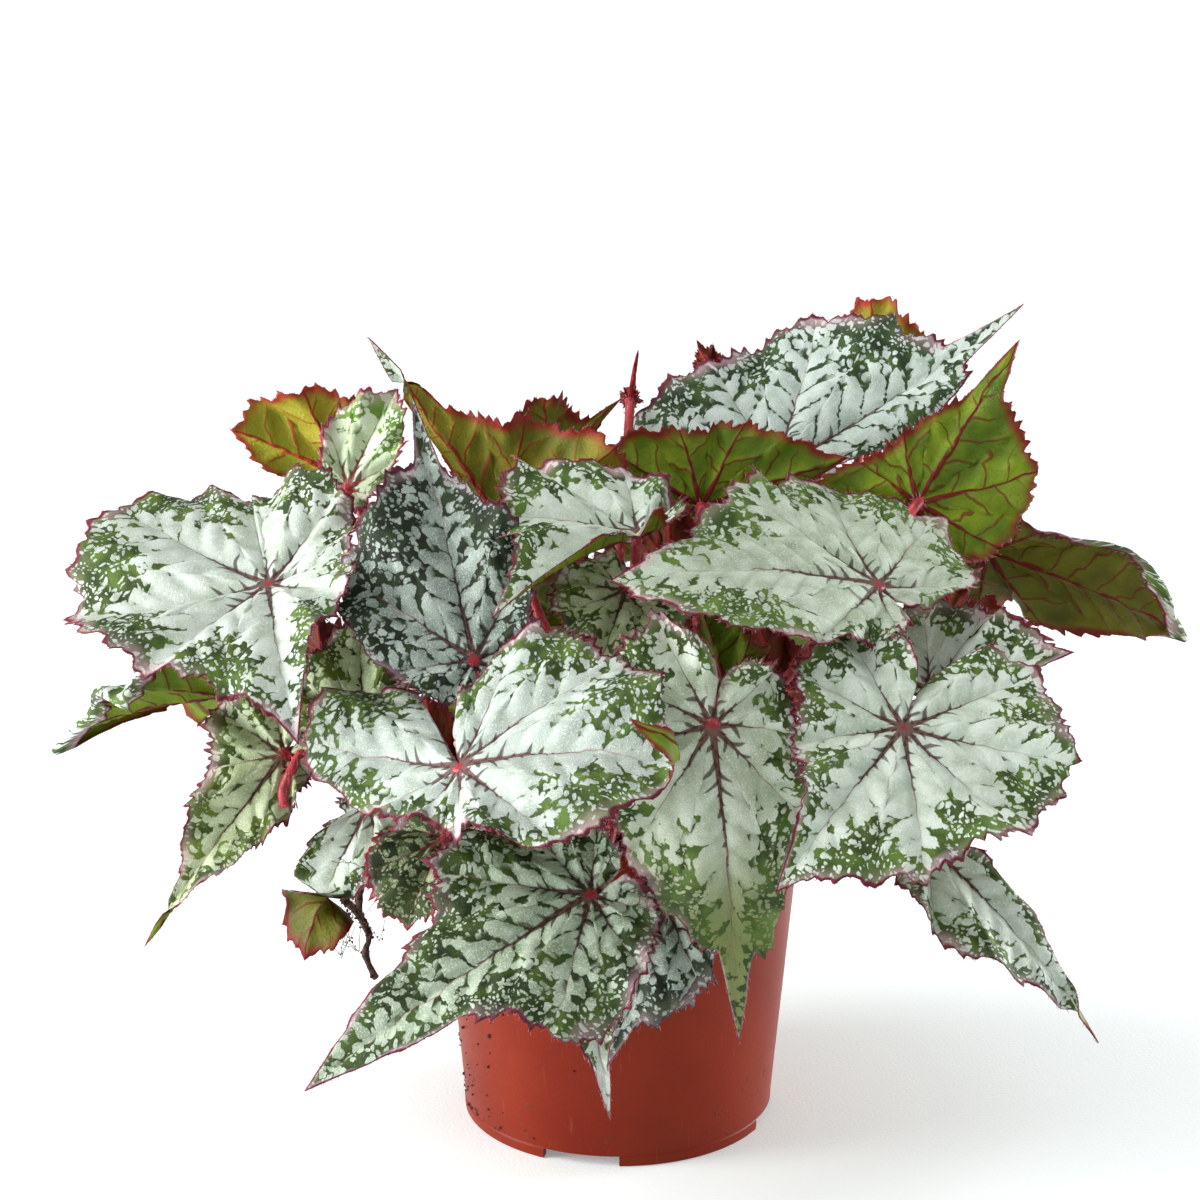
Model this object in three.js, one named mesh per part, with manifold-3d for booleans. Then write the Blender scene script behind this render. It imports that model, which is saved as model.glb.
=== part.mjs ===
// A potted rex begonia: a thin-walled plastic nursery pot on a notched foot ring, its soil, and the plant.
// The plant grows from short creeping rhizomes. Each carries red stalks, and each stalk carries one blade:
// lopsided and heart-shaped, with lobes behind the stalk, a long drip tip and a toothed, waved edge.
// Units are millimetres, +Z is up, and the origin is the centre of the pot's foot on the table.
import * as THREE from "three";
import Module from "manifold-3d";
import { mergeVertices } from "three/addons/utils/BufferGeometryUtils.js";

const wasm = await Module();
wasm.setup();

// ---- driving dimensions: pot and soil ----
const POT_HEIGHT = 110;
const POT_SIDES = 48;
const WALL = 1.5;
const WALL_BOTTOM_Z = 4;
const WALL_BOTTOM_RADIUS = 51;
const WALL_SLOPE = 0.091;
const FLOOR_THICK = 1.6;
const FOOT_RADIUS = 51.2;
const FOOT_WIDTH = 3.5;
const FOOT_SHOULDER = 0.6;
const FOOT_GAPS = 4;
const FOOT_GAP_WIDTH = 25;
const FOOT_GAP_HEIGHT = 3.5;
const FOOT_GAP_TURN = -14;
const RIM_RADIUS = 64;
const RIM_DEPTH = 9;
const RIM_DRAFT = 0.7;
const RIM_CHAMFER = 1;
const DRAIN_HOLES = 6;
const DRAIN_RADIUS = 4;
const DRAIN_SIDES = 16;
const DRAIN_CIRCLE = 34;
const SOIL_TOP = 99;
const SOIL_SIDES = 32;
const SOIL_RINGS = 4;
const SOIL_BUMP = 1.6;
const SOIL_BUMPS_ALONG = 0.21;
const SOIL_BUMPS_ACROSS = 0.17;
const GAP = 0.35;

// ---- driving dimensions: rhizomes and stalks ----
const RHIZOME_RADIUS = 5;
const RHIZOME_SIDES = 8;
const RHIZOME_STEPS = 8;
const RHIZOME_Z = 103;
const RHIZOMES = [
  [[-34, 8], [-18, -4], [2, -8], [22, -2], [36, 10]],
  [[-6, 34], [-2, 18], [2, -8], [6, -26]],
];
const STALK_RADIUS = 1.7;
const STALK_SIDES = 5;
const STALK_STEPS = 6;
const STALK_NECK = 5;
const STALK_CLEARANCE = 0.65;
const DRIED_RADIUS = 1;
const DRIED_STEPS = 14;
const DRIED_STALKS = [
  [[-28, 2, 103], [-50, -8, 121], [-67, -15, 116], [-77, -16, 97],
    [-82, -16, 85], [-84, -16, 73], [-81, -16, 65], [-82, -16, 57], [-79, -16, 50]],
  [[-82, -16, 68], [-85, -16, 73], [-89, -16, 77]],
];

// ---- driving dimensions: blades ----
const BLADE_THICK = 0.8;
const HALF_STEPS = [0, 0.06, 0.16, 0.32, 0.5, 0.7, 0.88, 1];
const RINGS = [{ share: 0.34, merge: 4 }, { share: 0.7, merge: 2 }, { share: 1, merge: 1 }];
const TIP_CROWDING = 1.2;
const TOOTH = 0.055;
const TOOTH_VARIETY = 0.4;
const TOOTH_AT_TIP = 0.35;
const TOOTH_GROWTH = 6;
const WAVES = 5;
const WAVE_START = 15;

// One row is one blade and its stalk.
// joint: where the stalk meets the blade. tip: the end of the drip tip. face: which way the upper side looks.
// span: how far the left and the right half reach round the joint from the tip, in degrees.
// left, right: reach of the edge from the joint at HALF_STEPS of that span, after the tip itself.
// arch: rise of the midrib over the line from joint to tip. hind: rise of the lobes behind the joint.
// fold: lift of the left and the right half, in degrees. wave: height of the edge's waves.
// sectors: teeth and valleys round the edge. seed: start of the blade's random numbers.
// root: where the stalk leaves the rhizome. via: places that the stalk passes on its way.
const LEAVES = [
  { name: "front_middle", joint: [-47, -86, 145], tip: [10, -104, 153], face: [0, -50, 87],
    span: [112, 236], left: [67, 67, 57, 52, 42, 28, 16], right: [62, 48, 26, 20, 34, 62, 40],
    arch: 5, hind: -10, fold: [8, -10], wave: 2.5, sectors: 48, seed: 7,
    root: [-12, -6], via: [[-26, -34, 128]] },
  { name: "front_hanging", joint: [27, -78, 155], tip: [36, -82, 56], face: [5, -95, 30],
    span: [158, 195], left: [66, 45, 36, 27, 26, 24, 14], right: [62, 52, 38, 34, 36, 30, 14],
    arch: 13, hind: -16, fold: [-14, -20], wave: 2, sectors: 48, seed: 8,
    root: [4, -18], via: [[16, -46, 136]] },
  { name: "front_right", joint: [84, -71, 152], tip: [44, -115, 117], face: [5, -75, 66],
    span: [193, 162], left: [58, 53, 45, 50, 48, 40, 13], right: [47, 38, 33, 36, 37, 32, 13],
    arch: 4, hind: -6, fold: [2, 2], wave: 2.5, sectors: 48, seed: 9,
    root: [16, -5], via: [[48, -38, 132]] },
  { name: "front_low", joint: [-9, -88, 106], tip: [-91, -122, 59], face: [-10, -70, 70],
    span: [172, 172], left: [52, 43, 47, 31, 22, 17, 12], right: [62, 47, 45, 30, 24, 18, 12],
    arch: 5, hind: -6, fold: [0, 0], wave: 2.5, sectors: 48, seed: 6,
    root: [4, -20], via: [[0, -48, 119], [-3, -68, 117], [-6, -80, 110]] },
  { name: "left_broad", joint: [-109, -24, 184], tip: [-94, -86, 152], face: [-15, -45, 88],
    span: [179, 185], left: [46, 35, 25, 23, 34, 47, 37], right: [57, 50, 54, 60, 67, 56, 40],
    arch: 8, hind: 0, fold: [10, 2], wave: 2.5, sectors: 48, seed: 1,
    root: [-22, -1], via: [[-66, -6, 134], [-100, -20, 160]] },
  { name: "centre_right", joint: [80, -28, 185], tip: [-3, -58, 194], face: [0, -50, 86],
    span: [130, 222], left: [76, 70, 44, 28, 22, 16, 10], right: [65, 55, 51, 46, 45, 22, 12],
    arch: 6, hind: -6, fold: [-4, -4], wave: 2.5, sectors: 48, seed: 12,
    root: [20, -3], via: [[52, -20, 152]] },
  { name: "centre_dark", joint: [-44, -52, 168], tip: [-64, -18, 243], face: [0, -93, 36],
    span: [172, 172], left: [63, 54, 44, 26, 18, 13, 10], right: [54, 46, 27, 18, 18, 16, 12],
    arch: -4, hind: -8, fold: [2, 8], wave: 2, sectors: 40, seed: 13,
    root: [-14, -5], via: [[-28, -22, 136]] },
  { name: "centre_top", joint: [6, -22, 200], tip: [-38, -66, 185], face: [0, -55, 83],
    span: [172, 172], left: [30, 20, 18, 18, 18, 16, 10], right: [46, 40, 40, 44, 34, 26, 20],
    arch: 6, hind: 0, fold: [50, 0], wave: 2, sectors: 40, seed: 14,
    root: [2, -6], via: [[4, -12, 150]] },
  { name: "centre_shaded", joint: [2, -30, 184], tip: [-9, -66, 159], face: [0, -80, 60],
    span: [172, 172], left: [28, 26, 25, 22, 18, 14, 10], right: [28, 26, 25, 22, 18, 14, 10],
    arch: 3, hind: 0, fold: [0, 0], wave: 1.5, sectors: 32, seed: 15,
    root: [5, -22], via: [[2, -28, 150]] },
  { name: "centre_inner", joint: [34, -42, 152], tip: [24, -24, 180], face: [0, 80, 60],
    span: [172, 172], left: [28, 24, 18, 14, 12, 10, 8], right: [28, 24, 18, 14, 12, 10, 8],
    arch: 3, hind: 0, fold: [0, 0], wave: 1.5, sectors: 32, seed: 33,
    root: [6, -22], via: [[20, -44, 124]] },
  { name: "crest_right", joint: [52, 44, 207], tip: [135, 58, 260], face: [0, -60, 80],
    span: [172, 172], left: [68, 63, 55, 46, 54, 54, 38], right: [66, 26, 24, 16, 14, 12, 10],
    arch: -4, hind: 0, fold: [6, -6], wave: 3, sectors: 48, seed: 18,
    root: [24, 0], via: [[38, 14, 160]] },
  { name: "crest_middle", joint: [27, 26, 198], tip: [75, 28, 214], face: [0, 100, 0],
    span: [172, 172], left: [36, 26, 18, 14, 12, 10, 8], right: [42, 34, 28, 26, 35, 28, 16],
    arch: 2, hind: 0, fold: [0, 0], wave: 2, sectors: 40, seed: 19,
    root: [8, -7], via: [[14, -4, 155]] },
  { name: "crest_left", joint: [-36, 18, 192], tip: [-80, 16, 255], face: [-10, 90, 30],
    span: [172, 172], left: [42, 37, 36, 45, 36, 26, 14], right: [27, 18, 20, 20, 18, 16, 10],
    arch: 4, hind: 0, fold: [0, 0], wave: 2.5, sectors: 40, seed: 16,
    root: [-6, -6], via: [[-18, -6, 150]] },
  { name: "crest_far", joint: [-25, 52, 201], tip: [1, 64, 227], face: [0, 90, 40],
    span: [172, 172], left: [25, 24, 24, 24, 22, 18, 12], right: [25, 28, 27, 22, 20, 18, 12],
    arch: 3, hind: 0, fold: [0, 0], wave: 2, sectors: 32, seed: 17,
    root: [-3, 22], via: [[-10, 34, 155]] },
  { name: "crest_back", joint: [88, 78, 224], tip: [66, 100, 248], face: [0, 90, 40],
    span: [172, 172], left: [30, 34, 34, 28, 22, 18, 12], right: [30, 28, 26, 24, 20, 16, 12],
    arch: 3, hind: 0, fold: [0, 0], wave: 2, sectors: 32, seed: 25,
    root: [30, 6], via: [[46, 18, 165], [78, 46, 200]] },
  { name: "right_upright", joint: [97, 20, 200], tip: [131, 38, 251], face: [0, 94, -34],
    span: [172, 172], left: [46, 42, 38, 30, 22, 18, 12], right: [37, 28, 22, 24, 36, 27, 14],
    arch: 3, hind: 0, fold: [0, 0], wave: 2, sectors: 40, seed: 20,
    root: [26, 1], via: [[60, 0, 155]] },
  { name: "right_far", joint: [125, 52, 177], tip: [187, 10, 159], face: [10, 90, 40],
    span: [172, 172], left: [63, 44, 27, 24, 20, 14, 10], right: [70, 40, 22, 18, 16, 14, 10],
    arch: 5, hind: 0, fold: [0, 0], wave: 2.5, sectors: 40, seed: 21,
    root: [34, 9], via: [[74, 16, 150], [106, 40, 176]] },
  { name: "right_inner", joint: [104, 30, 151], tip: [144, 22, 154], face: [0, 70, 70],
    span: [172, 172], left: [30, 24, 20, 18, 16, 10, 8], right: [34, 28, 22, 22, 22, 16, 8],
    arch: 3, hind: 0, fold: [0, 0], wave: 2, sectors: 32, seed: 23,
    root: [33, 8], via: [[66, 12, 132]] },
  { name: "right_shaded", joint: [97, -25, 150], tip: [140, -36, 166], face: [0, -60, 80],
    span: [172, 172], left: [40, 34, 32, 34, 36, 26, 14], right: [34, 24, 20, 18, 18, 14, 8],
    arch: 3, hind: 0, fold: [0, 0], wave: 2, sectors: 32, seed: 24,
    root: [22, -2], via: [[60, -14, 130]] },
  { name: "right_hanging", joint: [96, -35, 104], tip: [148, -62, 47], face: [45, -75, 50],
    span: [172, 172], left: [46, 18, 9, 9, 9, 8, 8], right: [46, 36, 27, 20, 15, 12, 8],
    arch: 6, hind: 0, fold: [0, 0], wave: 2, sectors: 32, seed: 11,
    root: [20, -3], via: [[58, -22, 116], [90, -30, 108]] },
  { name: "left_edge", joint: [-125, 8, 139], tip: [-188, 2, 117], face: [-30, 55, 80],
    span: [172, 172], left: [54, 52, 42, 30, 26, 20, 14], right: [30, 24, 22, 24, 24, 20, 12],
    arch: 7, hind: 0, fold: [0, 0], wave: 2, sectors: 32, seed: 2,
    root: [-32, 6], via: [[-76, 8, 128]] },
  { name: "left_hanging", joint: [-106, -22, 128], tip: [-151, -34, 68], face: [-20, -95, 20],
    span: [172, 172], left: [40, 26, 16, 11, 10, 10, 8], right: [43, 30, 24, 27, 22, 16, 10],
    arch: 5, hind: 0, fold: [0, 0], wave: 2, sectors: 40, seed: 3,
    root: [-28, 4], via: [[-66, -8, 124]] },
  { name: "left_lower", joint: [-79, -24, 112], tip: [-103, -40, 67], face: [-60, -70, 35],
    span: [172, 172], left: [44, 34, 26, 20, 18, 14, 8], right: [36, 26, 20, 16, 12, 10, 8],
    arch: 4, hind: 0, fold: [0, 0], wave: 1.5, sectors: 32, seed: 4,
    root: [-24, 0], via: [[-54, -12, 116]] },
  { name: "left_shaded", joint: [-53, -52, 111], tip: [-65, -66, 86], face: [-40, -85, 35],
    span: [172, 172], left: [26, 22, 18, 16, 15, 12, 8], right: [30, 29, 25, 20, 18, 15, 10],
    arch: 3, hind: 0, fold: [0, 0], wave: 1.5, sectors: 32, seed: 5,
    root: [-10, -6], via: [[-30, -30, 117], [-44, -42, 119]] },
  { name: "left_rear", joint: [-91, 36, 206], tip: [-127, 34, 222], face: [0, 95, 15],
    span: [172, 172], left: [38, 35, 30, 24, 20, 16, 10], right: [32, 20, 14, 14, 14, 12, 8],
    arch: 3, hind: 0, fold: [0, 0], wave: 2, sectors: 32, seed: 26,
    root: [-30, 5], via: [[-58, 12, 160]] },
  { name: "left_young", joint: [-88, 22, 205], tip: [-72, 32, 236], face: [0, -70, 70],
    span: [172, 172], left: [32, 28, 16, 10, 9, 8, 6], right: [32, 25, 15, 10, 9, 8, 6],
    arch: 3, hind: 0, fold: [10, 10], wave: 2, sectors: 32, seed: 27,
    root: [-26, 2], via: [[-52, 4, 160]] },
  { name: "left_inner", joint: [-80, -32, 138], tip: [-83, 0, 183], face: [0, -80, 60],
    span: [172, 172], left: [36, 30, 24, 20, 18, 16, 10], right: [34, 28, 22, 18, 16, 14, 10],
    arch: 3, hind: 0, fold: [0, 0], wave: 1.5, sectors: 32, seed: 29,
    root: [-20, -2], via: [[-50, -16, 132]] },
  { name: "front_narrow", joint: [14, -76, 98], tip: [-4, -84, 49], face: [0, -90, 40],
    span: [172, 172], left: [36, 31, 24, 18, 16, 14, 10], right: [26, 19, 14, 12, 12, 10, 8],
    arch: 4, hind: 0, fold: [0, 0], wave: 1.5, sectors: 32, seed: 30,
    root: [5, -24], via: [[10, -50, 118], [13, -68, 112]] },
  { name: "front_small", joint: [-9, -76, 72], tip: [-3, -80, 30], face: [0, -95, 30],
    span: [172, 172], left: [22, 14, 11, 10, 10, 8, 6], right: [22, 14, 11, 10, 10, 8, 6],
    arch: 3, hind: 0, fold: [0, 0], wave: 1, sectors: 32, seed: 31,
    root: [3, -24], via: [[-9, -50, 117], [-10, -68, 113], [-9, -71, 90]] },
  { name: "back_left", joint: [-62, 58, 150], tip: [-112, 98, 96], face: [-40, 60, 70],
    span: [172, 172], left: [52, 44, 40, 38, 34, 30, 16], right: [56, 46, 40, 42, 40, 32, 16],
    arch: 8, hind: 0, fold: [-4, -4], wave: 2.5, sectors: 32, seed: 41,
    root: [-8, 20], via: [[-34, 38, 134]] },
  { name: "back_middle", joint: [-8, 64, 150], tip: [-20, 124, 90], face: [-5, 70, 70],
    span: [172, 172], left: [56, 46, 44, 44, 40, 34, 18], right: [54, 44, 38, 34, 32, 28, 14],
    arch: 8, hind: 0, fold: [-4, -4], wave: 2.5, sectors: 32, seed: 42,
    root: [-4, 26], via: [[-6, 44, 134]] },
  { name: "back_right", joint: [58, 58, 152], tip: [104, 102, 100], face: [35, 65, 70],
    span: [172, 172], left: [56, 44, 38, 36, 32, 28, 14], right: [54, 46, 42, 42, 40, 34, 18],
    arch: 8, hind: 0, fold: [-4, -4], wave: 2.5, sectors: 32, seed: 43,
    root: [30, 6], via: [[42, 34, 134]] },
  { name: "back_low_left", joint: [-44, 74, 110], tip: [-66, 104, 48], face: [-40, 85, 30],
    span: [172, 172], left: [42, 32, 28, 28, 26, 22, 12], right: [40, 32, 26, 24, 22, 18, 10],
    arch: 5, hind: 0, fold: [-4, -4], wave: 2, sectors: 32, seed: 44,
    root: [-6, 24], via: [[-26, 42, 119]] },
  { name: "back_low_right", joint: [32, 78, 112], tip: [44, 114, 52], face: [25, 90, 30],
    span: [172, 172], left: [42, 32, 28, 26, 24, 20, 12], right: [44, 34, 28, 28, 26, 22, 12],
    arch: 5, hind: 0, fold: [-4, -4], wave: 2, sectors: 32, seed: 45,
    root: [-5, 28], via: [[18, 48, 119]] },
  { name: "back_high_left", joint: [-48, 52, 180], tip: [-98, 78, 176], face: [-30, 50, 80],
    span: [172, 172], left: [44, 36, 32, 30, 28, 24, 14], right: [46, 38, 34, 34, 32, 26, 14],
    arch: 6, hind: 0, fold: [-4, -4], wave: 2.5, sectors: 32, seed: 46,
    root: [-5, 18], via: [[-28, 26, 152]] },
  { name: "back_high_right", joint: [26, 62, 172], tip: [44, 118, 140], face: [20, 60, 75],
    span: [172, 172], left: [50, 42, 36, 34, 30, 26, 14], right: [50, 42, 40, 38, 36, 30, 16],
    arch: 8, hind: 0, fold: [-4, -4], wave: 2.5, sectors: 32, seed: 47,
    root: [33, 8], via: [[28, 38, 146]] },
  { name: "back_side_left", joint: [-100, 54, 132], tip: [-138, 72, 94], face: [-60, 50, 60],
    span: [172, 172], left: [40, 32, 28, 26, 24, 20, 12], right: [42, 34, 30, 28, 26, 22, 12],
    arch: 6, hind: 0, fold: [-4, -4], wave: 2, sectors: 32, seed: 48,
    root: [-32, 7], via: [[-66, 26, 128]] },
  { name: "back_side_right", joint: [100, 52, 132], tip: [142, 72, 92], face: [60, 50, 60],
    span: [172, 172], left: [42, 34, 30, 28, 26, 22, 12], right: [40, 32, 28, 26, 24, 20, 12],
    arch: 6, hind: 0, fold: [-4, -4], wave: 2, sectors: 32, seed: 49,
    root: [34, 9], via: [[66, 28, 126]] },
];

const rad = THREE.MathUtils.degToRad;
const MERGE_WITHIN = 1e-4;

// ---- solids ----

// A closed geometry as a solid that can be joined and cut.
function solidOf(geometry) {
  const bare = geometry.clone();
  for (const name of Object.keys(bare.attributes)) if (name !== "position") bare.deleteAttribute(name);
  const merged = mergeVertices(bare, MERGE_WITHIN);
  const corners = [];
  const index = merged.index.array;
  for (let i = 0; i < index.length; i += 3) {
    const [a, b, c] = index.slice(i, i + 3);
    if (a !== b && b !== c && c !== a) corners.push(a, b, c);
  }
  const vertProperties = new Float32Array(merged.attributes.position.array);
  return new wasm.Manifold(new wasm.Mesh({ numProp: 3, vertProperties, triVerts: new Uint32Array(corners) }));
}

function geometryFrom(solid) {
  const { vertProperties, triVerts, numProp } = solid.getMesh();
  const positions = [];
  for (let i = 0; i < vertProperties.length; i += numProp) positions.push(...vertProperties.slice(i, i + 3));
  const geometry = new THREE.BufferGeometry();
  geometry.setAttribute("position", new THREE.Float32BufferAttribute(positions, 3));
  geometry.setIndex([...triVerts]);
  return geometry;
}

// ---- pot ----

function wallRadius(z) {
  return WALL_BOTTOM_RADIUS + WALL_SLOPE * (z - WALL_BOTTOM_Z);
}

// A body of revolution about +Z from [radius, height] corners, the last joined to the first.
function turned(corners, sides) {
  const outline = [...corners, corners[0]].map(([radius, z]) => new THREE.Vector2(radius, z));
  return new THREE.LatheGeometry(outline, sides).rotateX(Math.PI / 2);
}

function potShell() {
  const rimBottom = POT_HEIGHT - RIM_DEPTH;
  const floorTop = WALL_BOTTOM_Z + FLOOR_THICK;
  return solidOf(turned([
    [0, WALL_BOTTOM_Z],
    [FOOT_RADIUS - FOOT_WIDTH, WALL_BOTTOM_Z],
    [FOOT_RADIUS - FOOT_WIDTH, 0],
    [FOOT_RADIUS, 0],
    [FOOT_RADIUS, WALL_BOTTOM_Z - FOOT_SHOULDER],
    [wallRadius(WALL_BOTTOM_Z), WALL_BOTTOM_Z],
    [wallRadius(rimBottom), rimBottom],
    [RIM_RADIUS - RIM_DRAFT, rimBottom],
    [RIM_RADIUS, POT_HEIGHT - RIM_CHAMFER],
    [RIM_RADIUS - RIM_CHAMFER, POT_HEIGHT],
    [wallRadius(POT_HEIGHT) - WALL, POT_HEIGHT],
    [wallRadius(floorTop) - WALL, floorTop],
    [0, floorTop],
  ], POT_SIDES));
}

// A gap in the foot ring, which lets water run out from under the pot.
function footGap(i) {
  const gap = new THREE.BoxGeometry(FOOT_GAP_WIDTH, 4 * FOOT_WIDTH, 2 * FOOT_GAP_HEIGHT);
  gap.translate(0, -FOOT_RADIUS, 0);
  gap.rotateZ(rad(FOOT_GAP_TURN + (360 / FOOT_GAPS) * i));
  return solidOf(gap);
}

function drainHole(i) {
  const hole = new THREE.CylinderGeometry(DRAIN_RADIUS, DRAIN_RADIUS, 8 * FLOOR_THICK, DRAIN_SIDES);
  hole.rotateX(Math.PI / 2);
  hole.translate(DRAIN_CIRCLE, 0, WALL_BOTTOM_Z);
  hole.rotateZ(rad((360 / DRAIN_HOLES) * i));
  return solidOf(hole);
}

function pot() {
  let solid = potShell();
  for (let i = 0; i < FOOT_GAPS; i++) solid = solid.subtract(footGap(i));
  for (let i = 0; i < DRAIN_HOLES; i++) solid = solid.subtract(drainHole(i));
  return geometryFrom(solid);
}

// ---- rhizomes, stalks and soil ----

function polygon(radius, sides) {
  const shape = new THREE.Shape();
  for (let i = 0; i < sides; i++) {
    const turn = (2 * Math.PI * i) / sides;
    shape[i ? "lineTo" : "moveTo"](radius * Math.cos(turn), radius * Math.sin(turn));
  }
  shape.closePath();
  return shape;
}

function tube(places, radius, sides, steps) {
  const points = places.map((place) => new THREE.Vector3(...place));
  const path = new THREE.CatmullRomCurve3(points, false, "centripetal");
  const section = polygon(radius, sides);
  return solidOf(new THREE.ExtrudeGeometry(section, { steps, bevelEnabled: false, extrudePath: path }));
}

function joined(solids) {
  return solids.reduce((a, b) => a.add(b));
}

function rhizomes(radius) {
  const routes = RHIZOMES.map((route) => route.map(([x, y]) => [x, y, RHIZOME_Z]));
  return joined(routes.map((route) => tube(route, radius, RHIZOME_SIDES, RHIZOME_STEPS)));
}

// A stalk runs from the rhizome to a short straight neck square under its blade.
function stalk(leaf) {
  const { joint, up } = frameOf(leaf);
  const under = (depth) => joint.clone().addScaledVector(up, -depth).toArray();
  const neck = [under(STALK_NECK), under(BLADE_THICK / 2 + STALK_CLEARANCE)];
  return tube([[...leaf.root, RHIZOME_Z], ...leaf.via, ...neck], STALK_RADIUS, STALK_SIDES, STALK_STEPS);
}

function rhizomeAndStalks() {
  const dried = DRIED_STALKS.map((route) => tube(route, DRIED_RADIUS, STALK_SIDES, DRIED_STEPS));
  return geometryFrom(joined([rhizomes(RHIZOME_RADIUS), ...LEAVES.map(stalk), ...dried]));
}

// The soil fills the pot up to a bumpy top, in which the rhizomes lie half sunk.
function soil() {
  const bottomZ = WALL_BOTTOM_Z + FLOOR_THICK + GAP;
  const bottom = wallRadius(bottomZ) - WALL - GAP;
  const top = wallRadius(SOIL_TOP) - WALL - GAP;
  const rings = [];
  for (let i = SOIL_RINGS; i > 0; i--) rings.push([(top * i) / SOIL_RINGS, SOIL_TOP]);
  const block = turned([[0, bottomZ], [bottom, bottomZ], ...rings, [0, SOIL_TOP]], SOIL_SIDES);
  const place = block.attributes.position;
  for (let i = 0; i < place.count; i++) {
    if (place.getZ(i) < SOIL_TOP / 2) continue;
    const along = Math.sin(place.getX(i) * SOIL_BUMPS_ALONG);
    const across = Math.cos(place.getY(i) * SOIL_BUMPS_ACROSS);
    place.setZ(i, SOIL_TOP + SOIL_BUMP * along * across);
  }
  return geometryFrom(solidOf(block).subtract(rhizomes(RHIZOME_RADIUS + GAP)));
}

// ---- blades ----

// A repeatable stream of numbers from 0 to 1.
function seeded(seed) {
  let state = (seed * 7919) % 2147483647;
  return () => {
    state = (state * 16807) % 2147483647;
    return state / 2147483647;
  };
}

// A smooth curve through the values ys at the places xs.
function smoothThrough(xs, ys, x) {
  let i = 1;
  while (i < xs.length - 1 && x > xs[i]) i++;
  const slope = (k) => {
    const a = Math.max(k - 1, 0);
    const b = Math.min(k + 1, xs.length - 1);
    return (ys[b] - ys[a]) / (xs[b] - xs[a]);
  };
  const width = xs[i] - xs[i - 1];
  const t = THREE.MathUtils.clamp((x - xs[i - 1]) / width, 0, 1);
  const rise = t * t * (3 - 2 * t);
  const bend = width * (slope(i - 1) * t * (1 - t) ** 2 - slope(i) * t * t * (1 - t));
  return ys[i - 1] + (ys[i] - ys[i - 1]) * rise + bend;
}

// The blade's own axes: forward to the tip, left across it, and up out of its upper side.
function frameOf(leaf) {
  const joint = new THREE.Vector3(...leaf.joint);
  const forward = new THREE.Vector3(...leaf.tip).sub(joint);
  const length = forward.length();
  forward.normalize();
  const up = new THREE.Vector3(...leaf.face);
  up.addScaledVector(forward, -up.dot(forward)).normalize();
  return { joint, forward, left: up.clone().cross(forward), up, length };
}

// One chain of points round the blade, from the right lobe over the tip to the left lobe.
function chainOf(leaf, length, { share, merge }, random) {
  const sectors = leaf.sectors / merge;
  return Array.from({ length: sectors + 1 }, (_, k) => {
    const turn = (2 * k) / sectors - 1;
    const part = Math.abs(turn) ** TIP_CROWDING;
    const side = turn > 0 ? 0 : 1;
    const halfEdge = [length, ...[leaf.left, leaf.right][side]];
    let reach = smoothThrough(HALF_STEPS, halfEdge, part) * share;
    if (share === 1 && turn !== 0) {
      const variety = 1 + TOOTH_VARIETY * (2 * random() - 1);
      const tooth = TOOTH * variety * Math.min(1, TOOTH_AT_TIP + part * TOOTH_GROWTH);
      reach *= k % 2 ? 1 - tooth : 1 + tooth;
    }
    return { angle: Math.sign(turn) * part * leaf.span[side], reach, share };
  });
}

// The flat blade as a fan round its joint: each ring has twice the points of the ring inside it.
function flatBlade(leaf, length) {
  const random = seeded(leaf.seed);
  const points = [{ angle: 0, reach: 0, share: 0 }];
  const chains = RINGS.map((ring) => {
    const chain = chainOf(leaf, length, ring, random);
    return chain.map((point) => points.push(point) - 1);
  });
  const triangles = [];
  for (let k = 0; k + 1 < chains[0].length; k++) triangles.push([0, chains[0][k], chains[0][k + 1]]);
  for (let ring = 1; ring < chains.length; ring++) {
    const inner = chains[ring - 1];
    const outer = chains[ring];
    for (let k = 0; k + 1 < inner.length; k++) {
      triangles.push([inner[k], outer[2 * k], outer[2 * k + 1]]);
      triangles.push([inner[k], outer[2 * k + 1], inner[k + 1]]);
      triangles.push([inner[k + 1], outer[2 * k + 1], outer[2 * k + 2]]);
    }
  }
  const sides = chains.slice(0, -1);
  const border = [0, ...sides.map((c) => c[0]), ...chains.at(-1), ...sides.reverse().map((c) => c.at(-1))];
  return { points, triangles, border };
}

// Where a point of the flat blade lies in the blade's own axes, with its arch, folded halves and waves.
function bentPoint(leaf, length, { angle, reach, share }) {
  const along = reach * Math.cos(rad(angle));
  const across = reach * Math.sin(rad(angle));
  const t = along / length;
  const bow = t > 0 ? 4 * leaf.arch * t * (1 - t) : -leaf.hind * t;
  const ripple = Math.sin(rad(angle) * WAVES + leaf.seed) * Math.min(1, Math.abs(angle) / WAVE_START);
  const lift = rad(leaf.fold[across >= 0 ? 0 : 1]);
  const rise = bow + leaf.wave * share * share * ripple + Math.abs(across) * Math.sin(lift);
  return new THREE.Vector3(along, across * Math.cos(lift), rise);
}

function vertexNormals(points, triangles) {
  const normals = points.map(() => new THREE.Vector3());
  for (const corners of triangles) {
    const [a, b, c] = corners.map((i) => points[i]);
    const normal = b.clone().sub(a).cross(c.clone().sub(a));
    for (const i of corners) normals[i].add(normal);
  }
  return normals.map((normal) => normal.normalize());
}

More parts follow.
